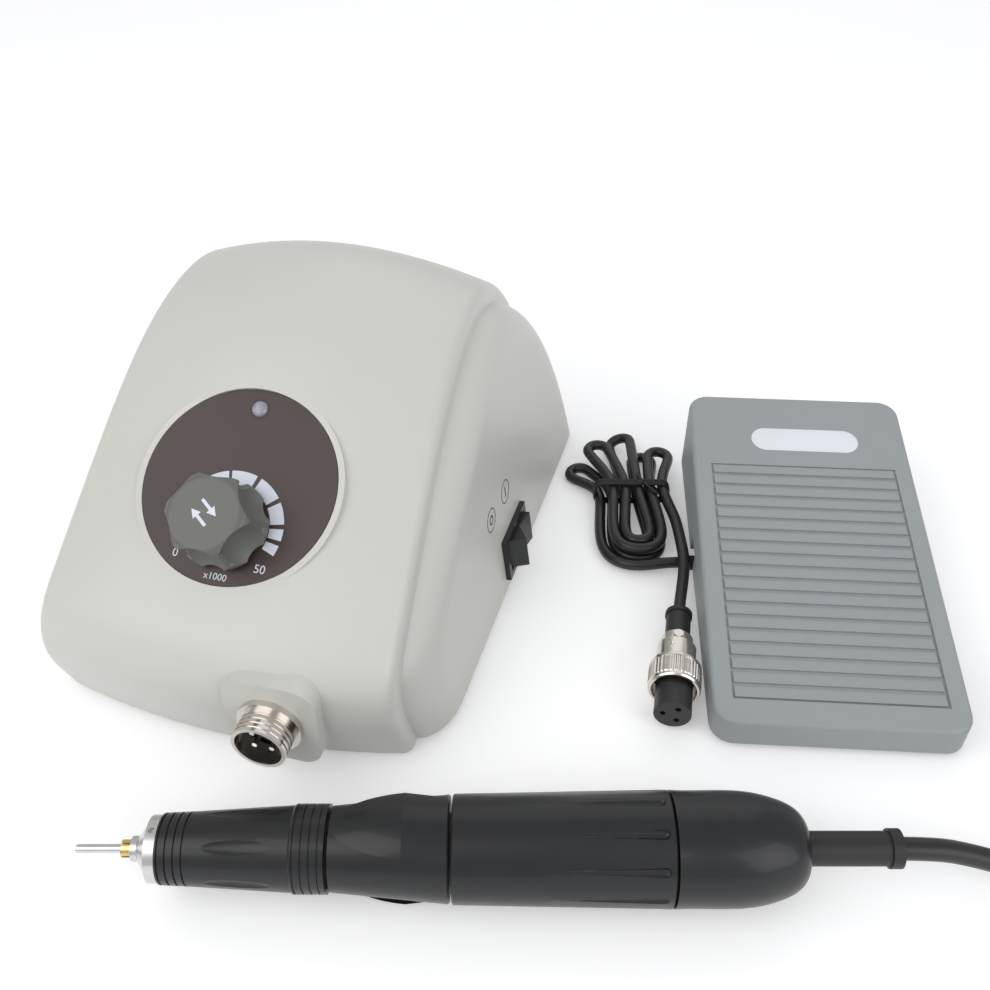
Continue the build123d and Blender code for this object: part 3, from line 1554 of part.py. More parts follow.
def rear_cap():
    points = [
        (share_r * handpiece_radius, place_share(cap_start, cap_end, share_s))
        for share_s, share_r in cap_shares
    ]
    outer = Spline(*points)
    inner_end = cap_end - cap_wall
    web_end = rear_bearing_station + rear_bearing_width + shaft_gap
    mouth = motor_cord_radius + cap_wall
    back = Polyline(
        points[-1], (boot_radius + shaft_gap, cap_end), (boot_radius + shaft_gap, inner_end),
        (mouth + fit_gap + shaft_gap, inner_end),
    )
    flank = Polyline(
        (mouth + fit_gap + shaft_gap, inner_end), (points[3][0] - cap_wall, points[3][1] - cap_wall),
        (points[1][0] - cap_wall * 1.5, points[1][1]), (points[0][0] - cap_wall * 2, web_end + cap_wall),
    )
    web = Polyline(
        (points[0][0] - cap_wall * 2, web_end + cap_wall),
        (motor_shaft_radius + fit_gap, web_end + cap_wall),
        (motor_shaft_radius + fit_gap, web_end), (rear_bearing_radius + shaft_gap, web_end),
        (rear_bearing_radius + shaft_gap, rear_bearing_station),
        (commutator_radius + commutator_gap, rear_bearing_station),
        (commutator_radius + commutator_gap, cap_spigot_start), (cap_spigot_radius, cap_spigot_start),
        (cap_spigot_radius, cap_start), points[0],
    )
    cap = revolved(Wire([outer, *back.edges(), *flank.edges(), *web.edges()]))
    for side in (-1, 1):
        channel = Pos(0, 0, brush_station) * Rot(0, side * 90, 0) * block(
            brush_side + shaft_gap * 2, brush_side + shaft_gap * 2, handpiece_radius
        )
        cap = cap - channel
    return handpiece_place() * cap


def strain_relief():
    low = cap_end - cap_wall - boot_root_length
    end = cap_end + boot_length
    boot = Pos(0, 0, low) * rod(boot_radius, end - low)
    root = Pos(0, 0, low) * rod(boot_root_radius, boot_root_length - shaft_gap)
    collar = Pos(0, 0, end - boot_collar_length) * rod(boot_collar_radius, boot_collar_length)
    return handpiece_place() * (boot + root + collar)


def bur():
    tool = rod(tool_radius, tool_length)
    tool = chamfer(tool.edges().filter_by(GeomType.CIRCLE), tool_radius / 3)
    return at_station(tool, -tool_reach)


def collet():
    bore = tool_radius + collet_grip
    body = tube(collet_radius, bore, collet_length) + tube(collet_tip_radius, bore, collet_tip_length)
    slit = Pos(0, 0, -overrun) * block(collet_tip_radius * 3, collet_slit, collet_slit_length + overrun)
    body = body - slit - Rot(0, 0, 90) * slit
    return at_station(body, collet_tip_station)


def spindle():
    length = spindle_end - spindle_start
    body = rod(spindle_radius, length) - rod(collet_radius + shaft_gap, spindle_bore_length)
    slot = Pos(0, 0, length - tang_length) * block(
        tang_thickness + shaft_gap * 2, spindle_radius * 3, tang_length + overrun
    )
    return at_station(body - slot, spindle_start)


def bearing(outer, inner, width):
    return tube(outer, inner + shaft_gap, width)


def spindle_bearings():
    ring = bearing(bearing_radius, spindle_radius, bearing_width)
    return Compound([at_station(ring, front_bearing_station), at_station(ring, middle_bearing_station)])


def rear_bearing():
    ring = bearing(rear_bearing_radius, motor_shaft_radius, rear_bearing_width)
    return at_station(ring, rear_bearing_station)


def armature():
    shaft_start = spindle_end - tang_length + shaft_gap
    shaft_end_station = rear_bearing_station + rear_bearing_width
    length = shaft_end_station - shaft_start - tang_length
    body = Pos(0, 0, shaft_start + tang_length) * rod(motor_shaft_radius, length)
    body = body + Pos(0, 0, shaft_start) * (
        block(tang_thickness, spindle_radius * 2, tang_length + motor_shaft_radius) & rod(
            motor_shaft_radius * 3 / 2, tang_length + motor_shaft_radius
        )
    )
    core = rod(armature_radius, armature_end - armature_start)
    for k in range(armature_slots):
        slot = Rot(0, 0, 360 / armature_slots * k) * Pos(armature_radius - armature_slot_depth / 2, 0, 0)
        core = core - slot * block(armature_slot_depth, armature_slot_width, armature_end - armature_start)
    body = body + Pos(0, 0, armature_start) * core
    body = body + Pos(0, 0, commutator_start) * rod(commutator_radius, commutator_end - commutator_start)
    return handpiece_place() * body


def magnet_ring():
    return at_station(tube(magnet_radius, magnet_bore, magnet_end - magnet_start), magnet_start)


def carbon_brushes():
    brush = Pos(0, 0, commutator_radius + shaft_gap) * block(brush_side, brush_side, brush_length)
    pair = Compound([Rot(0, side * 90, 0) * brush for side in (-1, 1)])
    return handpiece_place() * Pos(0, 0, brush_station) * pair


def coil_stations():
    """The put-away coil: in at the outside, up a layer at the inside, out again."""
    stations = []
    steps = round(coil_turns * 8)
    reversal = 4
    start = -90
    for n in range(steps * 2 + reversal + 1):
        turn = start + n * 45
        if n <= steps:
            run = n
            rise = 0
        elif n >= steps + reversal:
            run = steps * 2 + reversal - n
            rise = 1
        else:
            back = n - steps
            run = steps + 1 - abs(back - reversal / 2) / reversal * 2
            rise = back / reversal
        stations.append((turn, coil_radius - coil_step * run / 8, coil_z + coil_step * rise))
    points = [
        Vector(coil_x + r * cos(radians(t)), coil_y + r * sin(radians(t)), z) for t, r, z in stations
    ]
    path = []
    for n, point in enumerate(points):
        before = points[max(n - 1, 0)]
        after = points[min(n + 1, len(points) - 1)]
        turn, radius, z = stations[n]
        along = Vector(-sin(radians(turn)), cos(radians(turn)), 0)
        rate = (stations[min(n + 1, len(points) - 1)][1] - stations[max(n - 1, 0)][1]) / (pi / 2)
        rise = (after.Z - before.Z) / (radius * pi / 2)
        out = Vector(cos(radians(turn)), sin(radians(turn)), 0)
        if 0 < n < len(points) - 1:
            along = (along + out * (rate / radius) + Vector(0, 0, rise)).normalized()
        path.append((point, along))
    path = path[::2]
    end, heading = path[-1]
    return [*path, (end + heading * coil_tail, heading)]


def handpiece_cord_coil():
    return swept_cord(coil_stations(), motor_cord_radius)


def cord_stations():
    """The handpiece's cord from its strain relief down to the table and to the coil's start."""
    mouth = at_station(Location(), cap_end + boot_length).position
    end, inward = coil_stations()[0]
    return through(mouth, Vector(1, 0, 0), motor_cord_points, end, inward)


def handpiece_cord():
    return swept_cord(cord_stations(), motor_cord_radius)


def motor_plug_place():
    """The frame of the handpiece cord's plug, at the mouth of its boot."""
    end, heading = coil_stations()[-1]
    return Plane(origin=end, x_dir=(0, 0, 1), z_dir=heading).location


def handpiece_plug_boot():
    boot = plug_boot(
        motor_boot_radius, motor_boot_length + plug_boot_root, motor_boot_collar_radius,
        plug_boot_collar_length,
    )
    return motor_plug_place() * boot


def handpiece_plug_body():
    body = plug_body(
        motor_body_radius, motor_body_length, motor_clamp_radius, motor_clamp_length, motor_boot_radius,
        socket_thread_radius, motor_ring_lap,
    )
    return motor_plug_place() * Pos(0, 0, motor_boot_length) * body


def handpiece_plug_ring():
    start = motor_boot_length + motor_body_length - motor_ring_lap
    ring = coupling_ring(
        motor_ring_radius, socket_thread_radius, motor_body_radius, motor_ring_length, motor_ring_lap
    )
    return motor_plug_place() * Pos(0, 0, start) * ring


def handpiece_plug_insert():
    core = plug_insert(
        motor_insert_radius, motor_insert_reach, motor_hole_radius, socket_pin_circle, socket_pin_count,
        plug_hole_depth, socket_pin_turn,
    )
    return motor_plug_place() * Pos(0, 0, motor_boot_length + motor_body_length) * core


unit_pieces = [
    housing_shell, base_plate, rubber_feet, base_screws, dial_plate, indicator_lens, potentiometer,
    pot_shaft, speed_knob, handpiece_socket, socket_insert, socket_pins, socket_nut, switch_bezel,
    rocker_key, power_inlet, inlet_pins, fuse_drawer, glass_fuse, pedal_socket, transformer_core,
    transformer_winding, control_board, heat_sink,
]
table_pieces = [
    pedal_base, pedal_feet, pedal_treadle, hinge_pin, pedal_spring, micro_switch, switch_plunger,
    pedal_gland, pedal_cord_hank, pedal_cord, hank_tie, pedal_plug_boot, pedal_plug_body,
    pedal_plug_ring, pedal_plug_insert, nose_cone, front_sleeve, chuck_ring, motor_housing, rear_cap,
    strain_relief, collet, bur, spindle, spindle_bearings, armature, magnet_ring, rear_bearing,
    carbon_brushes, handpiece_cord, handpiece_cord_coil, handpiece_plug_boot, handpiece_plug_body,
    handpiece_plug_ring, handpiece_plug_insert,
]
os.makedirs("parts", exist_ok=True)
for piece in unit_pieces:
    export_step(unit_place() * piece(), f"parts/{piece.__name__}.step")
for piece in table_pieces:
    export_step(piece(), f"parts/{piece.__name__}.step")

for name, stations, radius in (
    ("pedal lead, hank", hank_stations(), lead_radius),
    ("pedal lead, end", tail_stations(), lead_radius),
    ("handpiece cord", cord_stations(), motor_cord_radius),
    ("handpiece cord, coil", coil_stations(), motor_cord_radius),
):
    print(name, "radius", radius, "least bend radius", round(least_radius(stations), 2))
for name, stations, radius in (
    ("hank", hank_stations() + tail_stations()[1:], lead_radius),
    ("coil", cord_stations() + coil_stations()[1:], motor_cord_radius),
):
    print(name, "least gap", round(least_gap(stations, radius), 2))
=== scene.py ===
from math import cos, pi, radians, sin

import bmesh
import bpy
from mathutils import Matrix, Vector


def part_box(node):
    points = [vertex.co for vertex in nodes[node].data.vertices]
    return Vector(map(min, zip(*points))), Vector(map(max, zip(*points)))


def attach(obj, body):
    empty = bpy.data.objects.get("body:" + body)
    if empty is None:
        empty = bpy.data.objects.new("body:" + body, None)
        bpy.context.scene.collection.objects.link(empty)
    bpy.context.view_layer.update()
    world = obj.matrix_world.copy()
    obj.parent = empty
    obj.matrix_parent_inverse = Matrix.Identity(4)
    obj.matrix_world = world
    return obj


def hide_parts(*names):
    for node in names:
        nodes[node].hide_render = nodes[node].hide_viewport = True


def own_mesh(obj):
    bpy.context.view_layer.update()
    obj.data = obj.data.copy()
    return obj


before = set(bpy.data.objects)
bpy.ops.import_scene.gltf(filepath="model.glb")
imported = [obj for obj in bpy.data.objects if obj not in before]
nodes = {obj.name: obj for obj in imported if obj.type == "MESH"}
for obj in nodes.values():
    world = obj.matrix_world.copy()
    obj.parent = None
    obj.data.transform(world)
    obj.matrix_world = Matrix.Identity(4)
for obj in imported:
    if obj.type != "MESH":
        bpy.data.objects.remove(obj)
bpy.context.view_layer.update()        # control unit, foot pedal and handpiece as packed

mm = 0.001


# Places, as in the model of the parts

def shift(x, y, z):
    return Matrix.Translation(Vector((x, y, z)) * mm)


def turn(degrees, axis):
    return Matrix.Rotation(radians(degrees), 4, axis)


unit = shift(-86.07, -66.32, 0) @ turn(-14.5, "Z")
dial = unit @ shift(0, 36.2, 70.2) @ turn(35.3, "X")
knob = dial @ shift(0, -12, 0)
pedal = shift(97.73, -71.82, 0) @ turn(-3.5, "Z")
handpiece = shift(-95.07, -111.82, 14.8) @ turn(90, "Y")
pedal_plug = shift(56.03, -22.72, 8.2) @ turn(180 - 10.2, "Z") @ turn(-90, "X")
motor_plug = shift(236.93, -56.82, 9.85) @ turn(-90, "X")


# Camera

camera_slope = 40.6         # degrees that the photograph looks down, from the user's side
camera_distance = 404.1
camera_target = (-4.5, 47.1, 0)
sensor_width = 36
focal_share = 1050 / 990    # the focal length, as a share of the picture's width


def place_camera():
    slope = radians(camera_slope)
    data = bpy.data.cameras.new("camera")
    data.sensor_width = sensor_width
    data.lens = sensor_width * focal_share
    camera = bpy.data.objects.new("camera", data)
    bpy.context.scene.collection.objects.link(camera)
    way = Vector((0, -cos(slope), sin(slope)))
    camera.location = (Vector(camera_target) + way * camera_distance) * mm
    camera.rotation_euler = (pi / 2 - slope, 0, 0)
    bpy.context.scene.camera = camera


place_camera()


# Finishes

class Value:
    """A shader socket that is added, subtracted, multiplied and compared like a number."""

    def __init__(self, finish, socket):
        self.finish = finish
        self.socket = socket

    def maths(self, operation, first, second):
        return self.finish.node("Math", {"operation": operation}, {0: first, 1: second})

    def __add__(self, other):
        return self.maths("ADD", self, other)

    def __sub__(self, other):
        return self.maths("SUBTRACT", self, other)

    def __rsub__(self, other):
        return self.maths("SUBTRACT", other, self)

    def __mul__(self, other):
        return self.maths("MULTIPLY", self, other)

    def __gt__(self, other):
        return self.maths("GREATER_THAN", self, other)

    __radd__ = __add__
    __rmul__ = __mul__


class Finish:
    """A material of the set, made of nodes on the piece's own coordinates."""

    def __init__(self, name, metallic=0.0, coat=0.0):
        self.material = bpy.data.materials.new(name)
        self.material.use_nodes = True
        self.tree = self.material.node_tree
        self.shader = self.tree.nodes["Principled BSDF"]
        self.shader.inputs["Metallic"].default_value = metallic
        self.shader.inputs["Coat Weight"].default_value = coat
        self.place = self.node("TexCoord", output="Object")

    def node(self, kind, settings=None, inputs=None, output=0):
        """Adds a node, sets it up and feeds its sockets with values or with other nodes' results."""
        node = self.tree.nodes.new("ShaderNode" + kind)
        for key, value in (settings or {}).items():
            setattr(node, key, value)
        for key, value in (inputs or {}).items():
            self.feed(node.inputs[key], value)
        return Value(self, node.outputs[output])

    def feed(self, socket, value):
        if isinstance(value, Value):
            self.tree.links.new(value.socket, socket)
        else:
            socket.default_value = value

    def noise(self, size, detail=2.0, rough=0.5, place=None):
        """Noise whose grains are about size millimetres."""
        return self.node("TexNoise", None, {
            "Vector": place or self.place, "Scale": 1 / mm / size, "Detail": detail, "Roughness": rough,
        })

    def layers(self, along, scale, detail):
        """Noise that changes only along one length."""
        return self.node("TexNoise", {"noise_dimensions": "1D"}, {
            "W": along, "Scale": scale, "Detail": detail,
        })

    def paint(self, value):
        """A colour of three numbers with its alpha, or a socket as it is."""
        return (*value, 1) if isinstance(value, tuple) else value

    def blend(self, factor, first, second):
        """A colour mix: sockets 6 and 7 of the node take the two colours, and its third output is one."""
        return self.node("Mix", {"data_type": "RGBA"}, {
            0: factor, 6: self.paint(first), 7: self.paint(second),
        }, output=2)

    def apart(self, place=None):
        """The three coordinates of a place, in millimetres."""
        scaled = self.node("VectorMath", {"operation": "SCALE"}, {0: place or self.place, "Scale": 1 / mm})
        parts = self.node("SeparateXYZ", None, {0: scaled})
        return [Value(self, parts.socket.node.outputs[n]) for n in range(3)]

    def local(self, matrix):
        """The place seen from a piece's own frame."""
        inverse = matrix.inverted()
        return self.node("Mapping", None, {
            "Vector": self.place, "Location": inverse.to_translation(), "Rotation": inverse.to_euler(),
        })

    def colour(self, value):
        self.feed(self.shader.inputs["Base Color"], self.paint(value))
        return self

    def rough(self, value):
        self.feed(self.shader.inputs["Roughness"], value)
        return self

    def bump(self, height, depth, strength=1.0):
        """Relief of depth millimetres."""
        normal = self.node("Bump", None, {"Height": height, "Distance": depth * mm, "Strength": strength})
        self.feed(self.shader.inputs["Normal"], normal)
        return self


def moulded(name, colour, shade, rough, grain, depth, coat=0.0):
    """A moulded plastic: two close shades in soft clouds, and a fine grain."""
    finish = Finish(name, coat=coat)
    clouds = finish.noise(34, 3.0)
    fine = finish.noise(grain, 2.0)
    finish.colour(finish.blend(clouds, colour, shade))
    finish.rough(rough + (fine - 0.5) * 0.10 + (clouds - 0.5) * 0.08)
    return finish.bump(fine, depth)


def plated(name, colour, shade, rough, grain=0.6):
    """A plated or polished metal with faint rubbing marks."""
    finish = Finish(name, metallic=1.0)
    clouds = finish.noise(5, 3.0)
    fine = finish.noise(grain, 3.0)
    finish.colour(finish.blend(clouds, colour, shade))
    finish.rough(rough + (clouds - 0.5) * 0.16 + (fine - 0.5) * 0.08)
    return finish.bump(fine, 0.004)


def turned_metal(name, colour, shade, rough, matrix, pitch=0.22):
    """A turned metal: fine rings along the axis of its own frame."""
    finish = Finish(name, metallic=1.0)
    along = finish.apart(finish.local(matrix))[2]
    lines = finish.layers(along, 1 / pitch, 2.0)
    clouds = finish.noise(4, 2.0)
    finish.colour(finish.blend(clouds, colour, shade))
    finish.rough(rough + (lines - 0.5) * 0.22)
    return finish.bump(lines, 0.006)


def rubber(name, colour, shade, rough=0.55):
    """A matt rubber: soft clouds and a fine tooth."""
    finish = Finish(name)
    clouds = finish.noise(9, 3.0)
    fine = finish.noise(0.35, 2.0)
    finish.colour(finish.blend(clouds, colour, shade))
    finish.rough(rough + (clouds - 0.5) * 0.16)
    return finish.bump(fine, 0.02)


def coated_handpiece():
    """Dark satin coating: faint clouds, a fine orange peel and paler rubbed spots."""
    finish = Finish("dark_satin_coat", metallic=0.25, coat=0.15)
    clouds = finish.noise(12, 3.0)
    fine = finish.noise(0.18, 2.0)
    rubbed = (finish.noise(2.2, 5.0, 0.65) > 0.66) * 0.25
    dark = finish.blend(clouds, (0.0095, 0.0102, 0.0112), (0.0135, 0.0144, 0.0156))
    finish.colour(finish.blend(rubbed, dark, (0.024, 0.025, 0.027)))
    finish.rough(0.36 + (clouds - 0.5) * 0.12 + (fine - 0.5) * 0.12)
    return finish.bump(fine, 0.008)


def printed_plate():
    """The dial plate: dark brown grey, satin, with the print's fine tooth."""
    finish = Finish("dial_plate_face")
    clouds = finish.noise(16, 2.0)
    fine = finish.noise(0.25, 2.0)
    finish.colour(finish.blend(clouds, (0.046, 0.029, 0.025), (0.052, 0.033, 0.029)))
    finish.rough(0.42 + (fine - 0.5) * 0.12)
    return finish.bump(fine, 0.006)


def clear_lens():
    """The indicator's lens: flecked and glossy."""
    finish = Finish("indicator_lens_clear", coat=0.6)
    flecks = finish.noise(1.1, 3.0)
    finish.colour(finish.blend(flecks, (0.13, 0.12, 0.16), (0.46, 0.44, 0.52)))
    finish.rough(0.12 + flecks * 0.1)
    return finish.bump(flecks, 0.05)


def wound_copper():
    """The transformer's winding: bare copper wire in layers."""
    finish = Finish("winding_tape")
    along = finish.apart()[2]
    layers = finish.layers(along, 2.5, 1.0)
    finish.colour(finish.blend(layers, (0.50, 0.20, 0.05), (0.70, 0.34, 0.10)))
    finish.rough(0.4 + layers * 0.2)
    return finish.bump(layers, 0.1)


def laminated(name, colour, shade, axis):
    """Stacked sheet metal, seen edge on along one axis."""
    finish = Finish(name, metallic=0.8)
    across = finish.apart()[axis]
    sheets = finish.layers(across, 3.0, 0.0)
    finish.colour(finish.blend(sheets, colour, shade))
    finish.rough(0.45 + sheets * 0.2)
    return finish.bump(sheets, 0.08)


def board():
    """The control board: green lacquer with paler tracks."""
    finish = Finish("board_lacquer", coat=0.4)
    patches = finish.noise(6, 4.0)
    finish.colour(finish.blend(patches > 0.52, (0.01, 0.13, 0.045), (0.02, 0.19, 0.07)))
    finish.rough(0.35 + patches * 0.1)
    return finish.bump(patches, 0.02)


housing_plastic = moulded("housing_plastic", (0.585, 0.582, 0.543), (0.608, 0.605, 0.570), 0.36, 0.35, 0.010)
base_plastic = moulded("base_plastic", (0.40, 0.40, 0.38), (0.44, 0.44, 0.42), 0.5, 0.5, 0.02)
knob_plastic = moulded("knob_plastic", (0.115, 0.120, 0.108), (0.133, 0.138, 0.125), 0.40, 0.22, 0.008)
black_plastic = moulded("black_plastic", (0.010, 0.011, 0.012), (0.015, 0.016, 0.017), 0.34, 0.4, 0.010)
insert_plastic = moulded(
    "contact_insert_plastic", (0.012, 0.012, 0.013), (0.018, 0.018, 0.020), 0.45, 0.3, 0.008,
)
treadle_plastic = moulded("treadle_plastic", (0.297, 0.321, 0.332), (0.318, 0.343, 0.354), 0.5, 0.55, 0.022)
tray_plastic = moulded("tray_plastic", (0.09, 0.10, 0.11), (0.11, 0.12, 0.13), 0.5, 0.5, 0.02)
white_print = moulded("white_print", (0.66, 0.70, 0.78), (0.72, 0.76, 0.84), 0.5, 0.2, 0.003)
label_white = moulded("label_white", (0.74, 0.78, 0.82), (0.78, 0.82, 0.86), 0.35, 0.4, 0.004)
wall_print = moulded("wall_print", (0.045, 0.045, 0.045), (0.06, 0.06, 0.06), 0.5, 0.2, 0.003)
red_plastic = moulded("plunger_plastic", (0.50, 0.06, 0.03), (0.58, 0.08, 0.04), 0.4, 0.4, 0.01)
string_black = rubber("string_black", (0.012, 0.012, 0.013), (0.022, 0.022, 0.024), 0.6)
cord_rubber = rubber("cord_rubber", (0.010, 0.010, 0.011), (0.018, 0.018, 0.019), 0.36)
boot_rubber = rubber("boot_rubber", (0.012, 0.012, 0.013), (0.020, 0.020, 0.022), 0.5)
foot_rubber = rubber("foot_rubber", (0.015, 0.015, 0.015), (0.025, 0.025, 0.025), 0.7)
nickel = plated("nickel_plate", (0.74, 0.70, 0.65), (0.62, 0.585, 0.54), 0.20)
pin_nickel = plated("pin_nickel", (0.80, 0.79, 0.77), (0.70, 0.69, 0.67), 0.14)
zinc = plated("zinc_plate", (0.58, 0.58, 0.60), (0.45, 0.46, 0.50), 0.32)
aluminium = plated("sink_aluminium", (0.70, 0.70, 0.71), (0.60, 0.60, 0.62), 0.38)
nose_metal = turned_metal("nose_cone_metal", (0.70, 0.70, 0.69), (0.58, 0.58, 0.57), 0.26, handpiece)
collet_brass = turned_metal("collet_brass", (0.80, 0.60, 0.30), (0.66, 0.47, 0.20), 0.22, handpiece)
tool_steel = turned_metal("tool_steel", (0.72, 0.73, 0.74), (0.60, 0.61, 0.62), 0.18, handpiece, 0.15)
spindle_steel = turned_metal("spindle_steel", (0.60, 0.60, 0.60), (0.50, 0.50, 0.50), 0.28, handpiece)
spring_steel = plated("spring_steel", (0.50, 0.50, 0.50), (0.40, 0.40, 0.40), 0.3)
core_steel = laminated("transformer_sheets", (0.20, 0.20, 0.21), (0.30, 0.30, 0.31), 1)
rotor_steel = laminated("armature_sheets", (0.25, 0.24, 0.22), (0.36, 0.34, 0.30), 0)
magnet = moulded("magnet_ferrite", (0.05, 0.05, 0.05), (0.07, 0.07, 0.07), 0.6, 0.5, 0.02)
carbon = moulded("brush_carbon", (0.02, 0.02, 0.02), (0.04, 0.04, 0.04), 0.7, 0.3, 0.02)
dark_coat = coated_handpiece()
plate_face = printed_plate()
lens = clear_lens()
winding = wound_copper()
green_board = board()
fuse_glass = moulded("fuse_glass", (0.70, 0.74, 0.74), (0.80, 0.84, 0.84), 0.08, 2.0, 0.002, coat=1.0)

node_finishes = {
    housing_plastic: ["housing_shell"],
    base_plastic: ["base_plate"],
    foot_rubber: ["rubber_feet", "pedal_feet"],
    zinc: ["base_screws", "hinge_pin"],
    plate_face: ["dial_plate"],
    lens: ["indicator_lens"],
    aluminium: ["potentiometer", "pot_shaft", "heat_sink"],
    knob_plastic: ["speed_knob"],
    nickel: ["handpiece_socket", "socket_nut", "pedal_socket", "pedal_plug_body", "pedal_plug_ring",
             "handpiece_plug_body", "handpiece_plug_ring"],
    pin_nickel: ["socket_pins", "inlet_pins"],
    insert_plastic: ["socket_insert", "pedal_plug_insert", "handpiece_plug_insert"],
    black_plastic: ["switch_bezel", "rocker_key", "power_inlet", "fuse_drawer", "micro_switch"],
    fuse_glass: ["glass_fuse"],
    core_steel: ["transformer_core"],
    winding: ["transformer_winding"],
    green_board: ["control_board"],
    tray_plastic: ["pedal_base"],
    treadle_plastic: ["pedal_treadle"],
    spring_steel: ["pedal_spring"],
    red_plastic: ["switch_plunger"],
    boot_rubber: ["pedal_gland", "pedal_plug_boot", "strain_relief", "handpiece_plug_boot"],
    cord_rubber: ["pedal_cord_hank", "pedal_cord", "handpiece_cord", "handpiece_cord_coil", "hank_tie"],
    nose_metal: ["nose_cone"],
    dark_coat: ["front_sleeve", "chuck_ring", "motor_housing", "rear_cap"],
    collet_brass: ["collet"],
    tool_steel: ["bur"],
    spindle_steel: ["spindle", "spindle_bearings", "rear_bearing"],
    rotor_steel: ["armature"],
    magnet: ["magnet_ring"],
    carbon: ["carbon_brushes"],
}
for finish, names in node_finishes.items():
    for name in names:
        for place in nodes[name].material_slots:
            place.material = finish.material


# New pieces

def piece_of(name, mesh, finish, body, matrix=None):
    """Makes an object of a bmesh in the frame of matrix, and lets it ride on a body."""
    if matrix is not None:
        bmesh.ops.transform(mesh, matrix=matrix, verts=mesh.verts)
    data = bpy.data.meshes.new(name)
    mesh.to_mesh(data)
    mesh.free()
    data.materials.append(finish.material)
    piece = bpy.data.objects.new(name, data)
    bpy.context.scene.collection.objects.link(piece)
    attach(piece, body)
    return piece


def smooth(piece, angle=40):
    """Rounds the shading over edges that turn by less than the angle."""
    mesh = bmesh.new()
    mesh.from_mesh(piece.data)
    for face in mesh.faces:
        face.smooth = True
    for edge in mesh.edges:
        edge.smooth = len(edge.link_faces) == 2 and edge.calc_face_angle(0) < radians(angle)
    mesh.to_mesh(piece.data)
    mesh.free()
    return piece


def cord_curve(name, points, radius, finish, body, order=3):
    """A free cord: one open NURBS line whose control points are its route, with a round section."""
    curve = bpy.data.curves.new(name, "CURVE")
    curve.dimensions = "3D"
    line = curve.splines.new("NURBS")
    line.points.add(len(points) - 1)
    for point, place in zip(line.points, points):
        point.co = (*(Vector(place) * mm), 1)
    line.order_u = order
    line.use_endpoint_u = True
    line.resolution_u = 6
    curve.bevel_depth = radius * mm
    curve.bevel_resolution = 4
    curve.use_fill_caps = True
    curve.materials.append(finish.material)
    piece = bpy.data.objects.new(name, curve)
    bpy.context.scene.collection.objects.link(piece)
    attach(piece, body)
    return piece


def bend(centre, radius, start, sweep, low, high, count):
    """Control points of a round bend: the cord touches the circle between each two of them."""
    step = sweep / count
    reach = radius / cos(radians(step / 2))
    points = []
    for n in range(count):
        angle = radians(start + step * (n + 0.5))
        height = low + (high - low) * (n + 0.5) / count
        points.append((centre[0] + reach * cos(angle), centre[1] + reach * sin(angle), height))
    return points


# The pedal's lead: a hank of six strands in two layers, tied at its waist

strand_step = 4.6       # from strand to strand, and from layer to layer
hank_x = 46.93
waist_y = 42.68
waist_run = 5           # half the straight stretch under the tie
ring_y = 19.68          # middle of the turns below the tie
ring_gain = 3.05        # how much wider the turns are than the strands under the tie
hank_low = 2.1
waist_lift = 1.0
hank_middle = 3.5       # strands 1 to 6 lie from right to left
fold_radius = 4.0
fold_run = 3            # straight stretch at each end of a fold
gland_run = [(61.78, 5.52, 4.4), (56.5, 5.7, 4.4), (51.0, 5.13, 3.6)]
plug_run = [
    (61.48, 27.0, 6.7), (61.48, 15.0, 7.6), (61.03, 5.18, 9.9), (60.6, -2.0, 9.7), (58.4, -12.0, 8.5),
    (56.74, -18.78, 8.2), (56.03, -22.72, 8.2),
]


def strand(k, layer, way):
    """The straight stretch of strand k under the tie: way is 1 towards the folds, and -1 back."""
    x = hank_x + (hank_middle - k) * strand_step
    z = hank_low + waist_lift + strand_step * layer
    return [(x, waist_y - waist_run * way, z), (x, waist_y + waist_run * way, z)]


def lower_turn(k, layer):
    """The round turn below the tie, from strand k to its pair."""
    side = 1 if k < hank_middle else -1
    half = abs(hank_middle - k) * strand_step + ring_gain
    z = hank_low + strand_step * layer
    return bend((hank_x, ring_y), half, 0 if side > 0 else 180, -180 * side, z, z, 4)


def ear(base, lean, height, side, low, high):
    """A fold beyond the tie, fanned out by its lean, with a short straight run to each side."""
    x = hank_x + base + sin(radians(lean)) * height
    y = waist_y + cos(radians(lean)) * height
    z0 = hank_low + strand_step * low
    z1 = hank_low + strand_step * high
    fold = bend((x, y), fold_radius, 180 - lean if side > 0 else -lean, -180 * side, z0, z1, 4)
    run = Vector((-sin(radians(lean)), -cos(radians(lean)), 0)) * fold_run
    return [Vector(fold[0]) + run] + fold + [Vector(fold[-1]) + run]


def lead_route():
    """From the gland through the hank's two layers to the plug."""
    left = 2.5 * strand_step + ring_gain
    route = gland_run + bend((hank_x, ring_y), left, -90, -90, hank_low + waist_lift, hank_low, 2)
    route += strand(6, 0, 1) + ear(-2 * strand_step, -32, 17.0, 1, 0, 0)
    route += strand(5, 0, -1) + lower_turn(5, 0) + strand(2, 0, 1)
    route += ear(strand_step, 5, 21.0, -1, 0, 0)
    route += strand(3, 0, -1) + lower_turn(3, 0) + strand(4, 0, 1)
    route += ear(0, -3, 30.0, 1, 0, 1)
    route += strand(3, 1, -1) + lower_turn(3, 1) + strand(4, 1, 1)
    route += ear(-strand_step, -15, 24.0, -1, 1, 1)
    route += strand(5, 1, -1) + lower_turn(5, 1) + strand(2, 1, 1)
    route += ear(2 * strand_step, 9, 19.0, 1, 1, 1)
    return route + strand(1, 1, -1) + plug_run


pedal_lead = cord_curve("pedal_lead", lead_route(), 2.0, cord_rubber, "pedal_base", 4)
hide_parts("pedal_cord_hank", "pedal_cord")


# The handpiece's cord: down to the table, out of view and into a coil of two layers

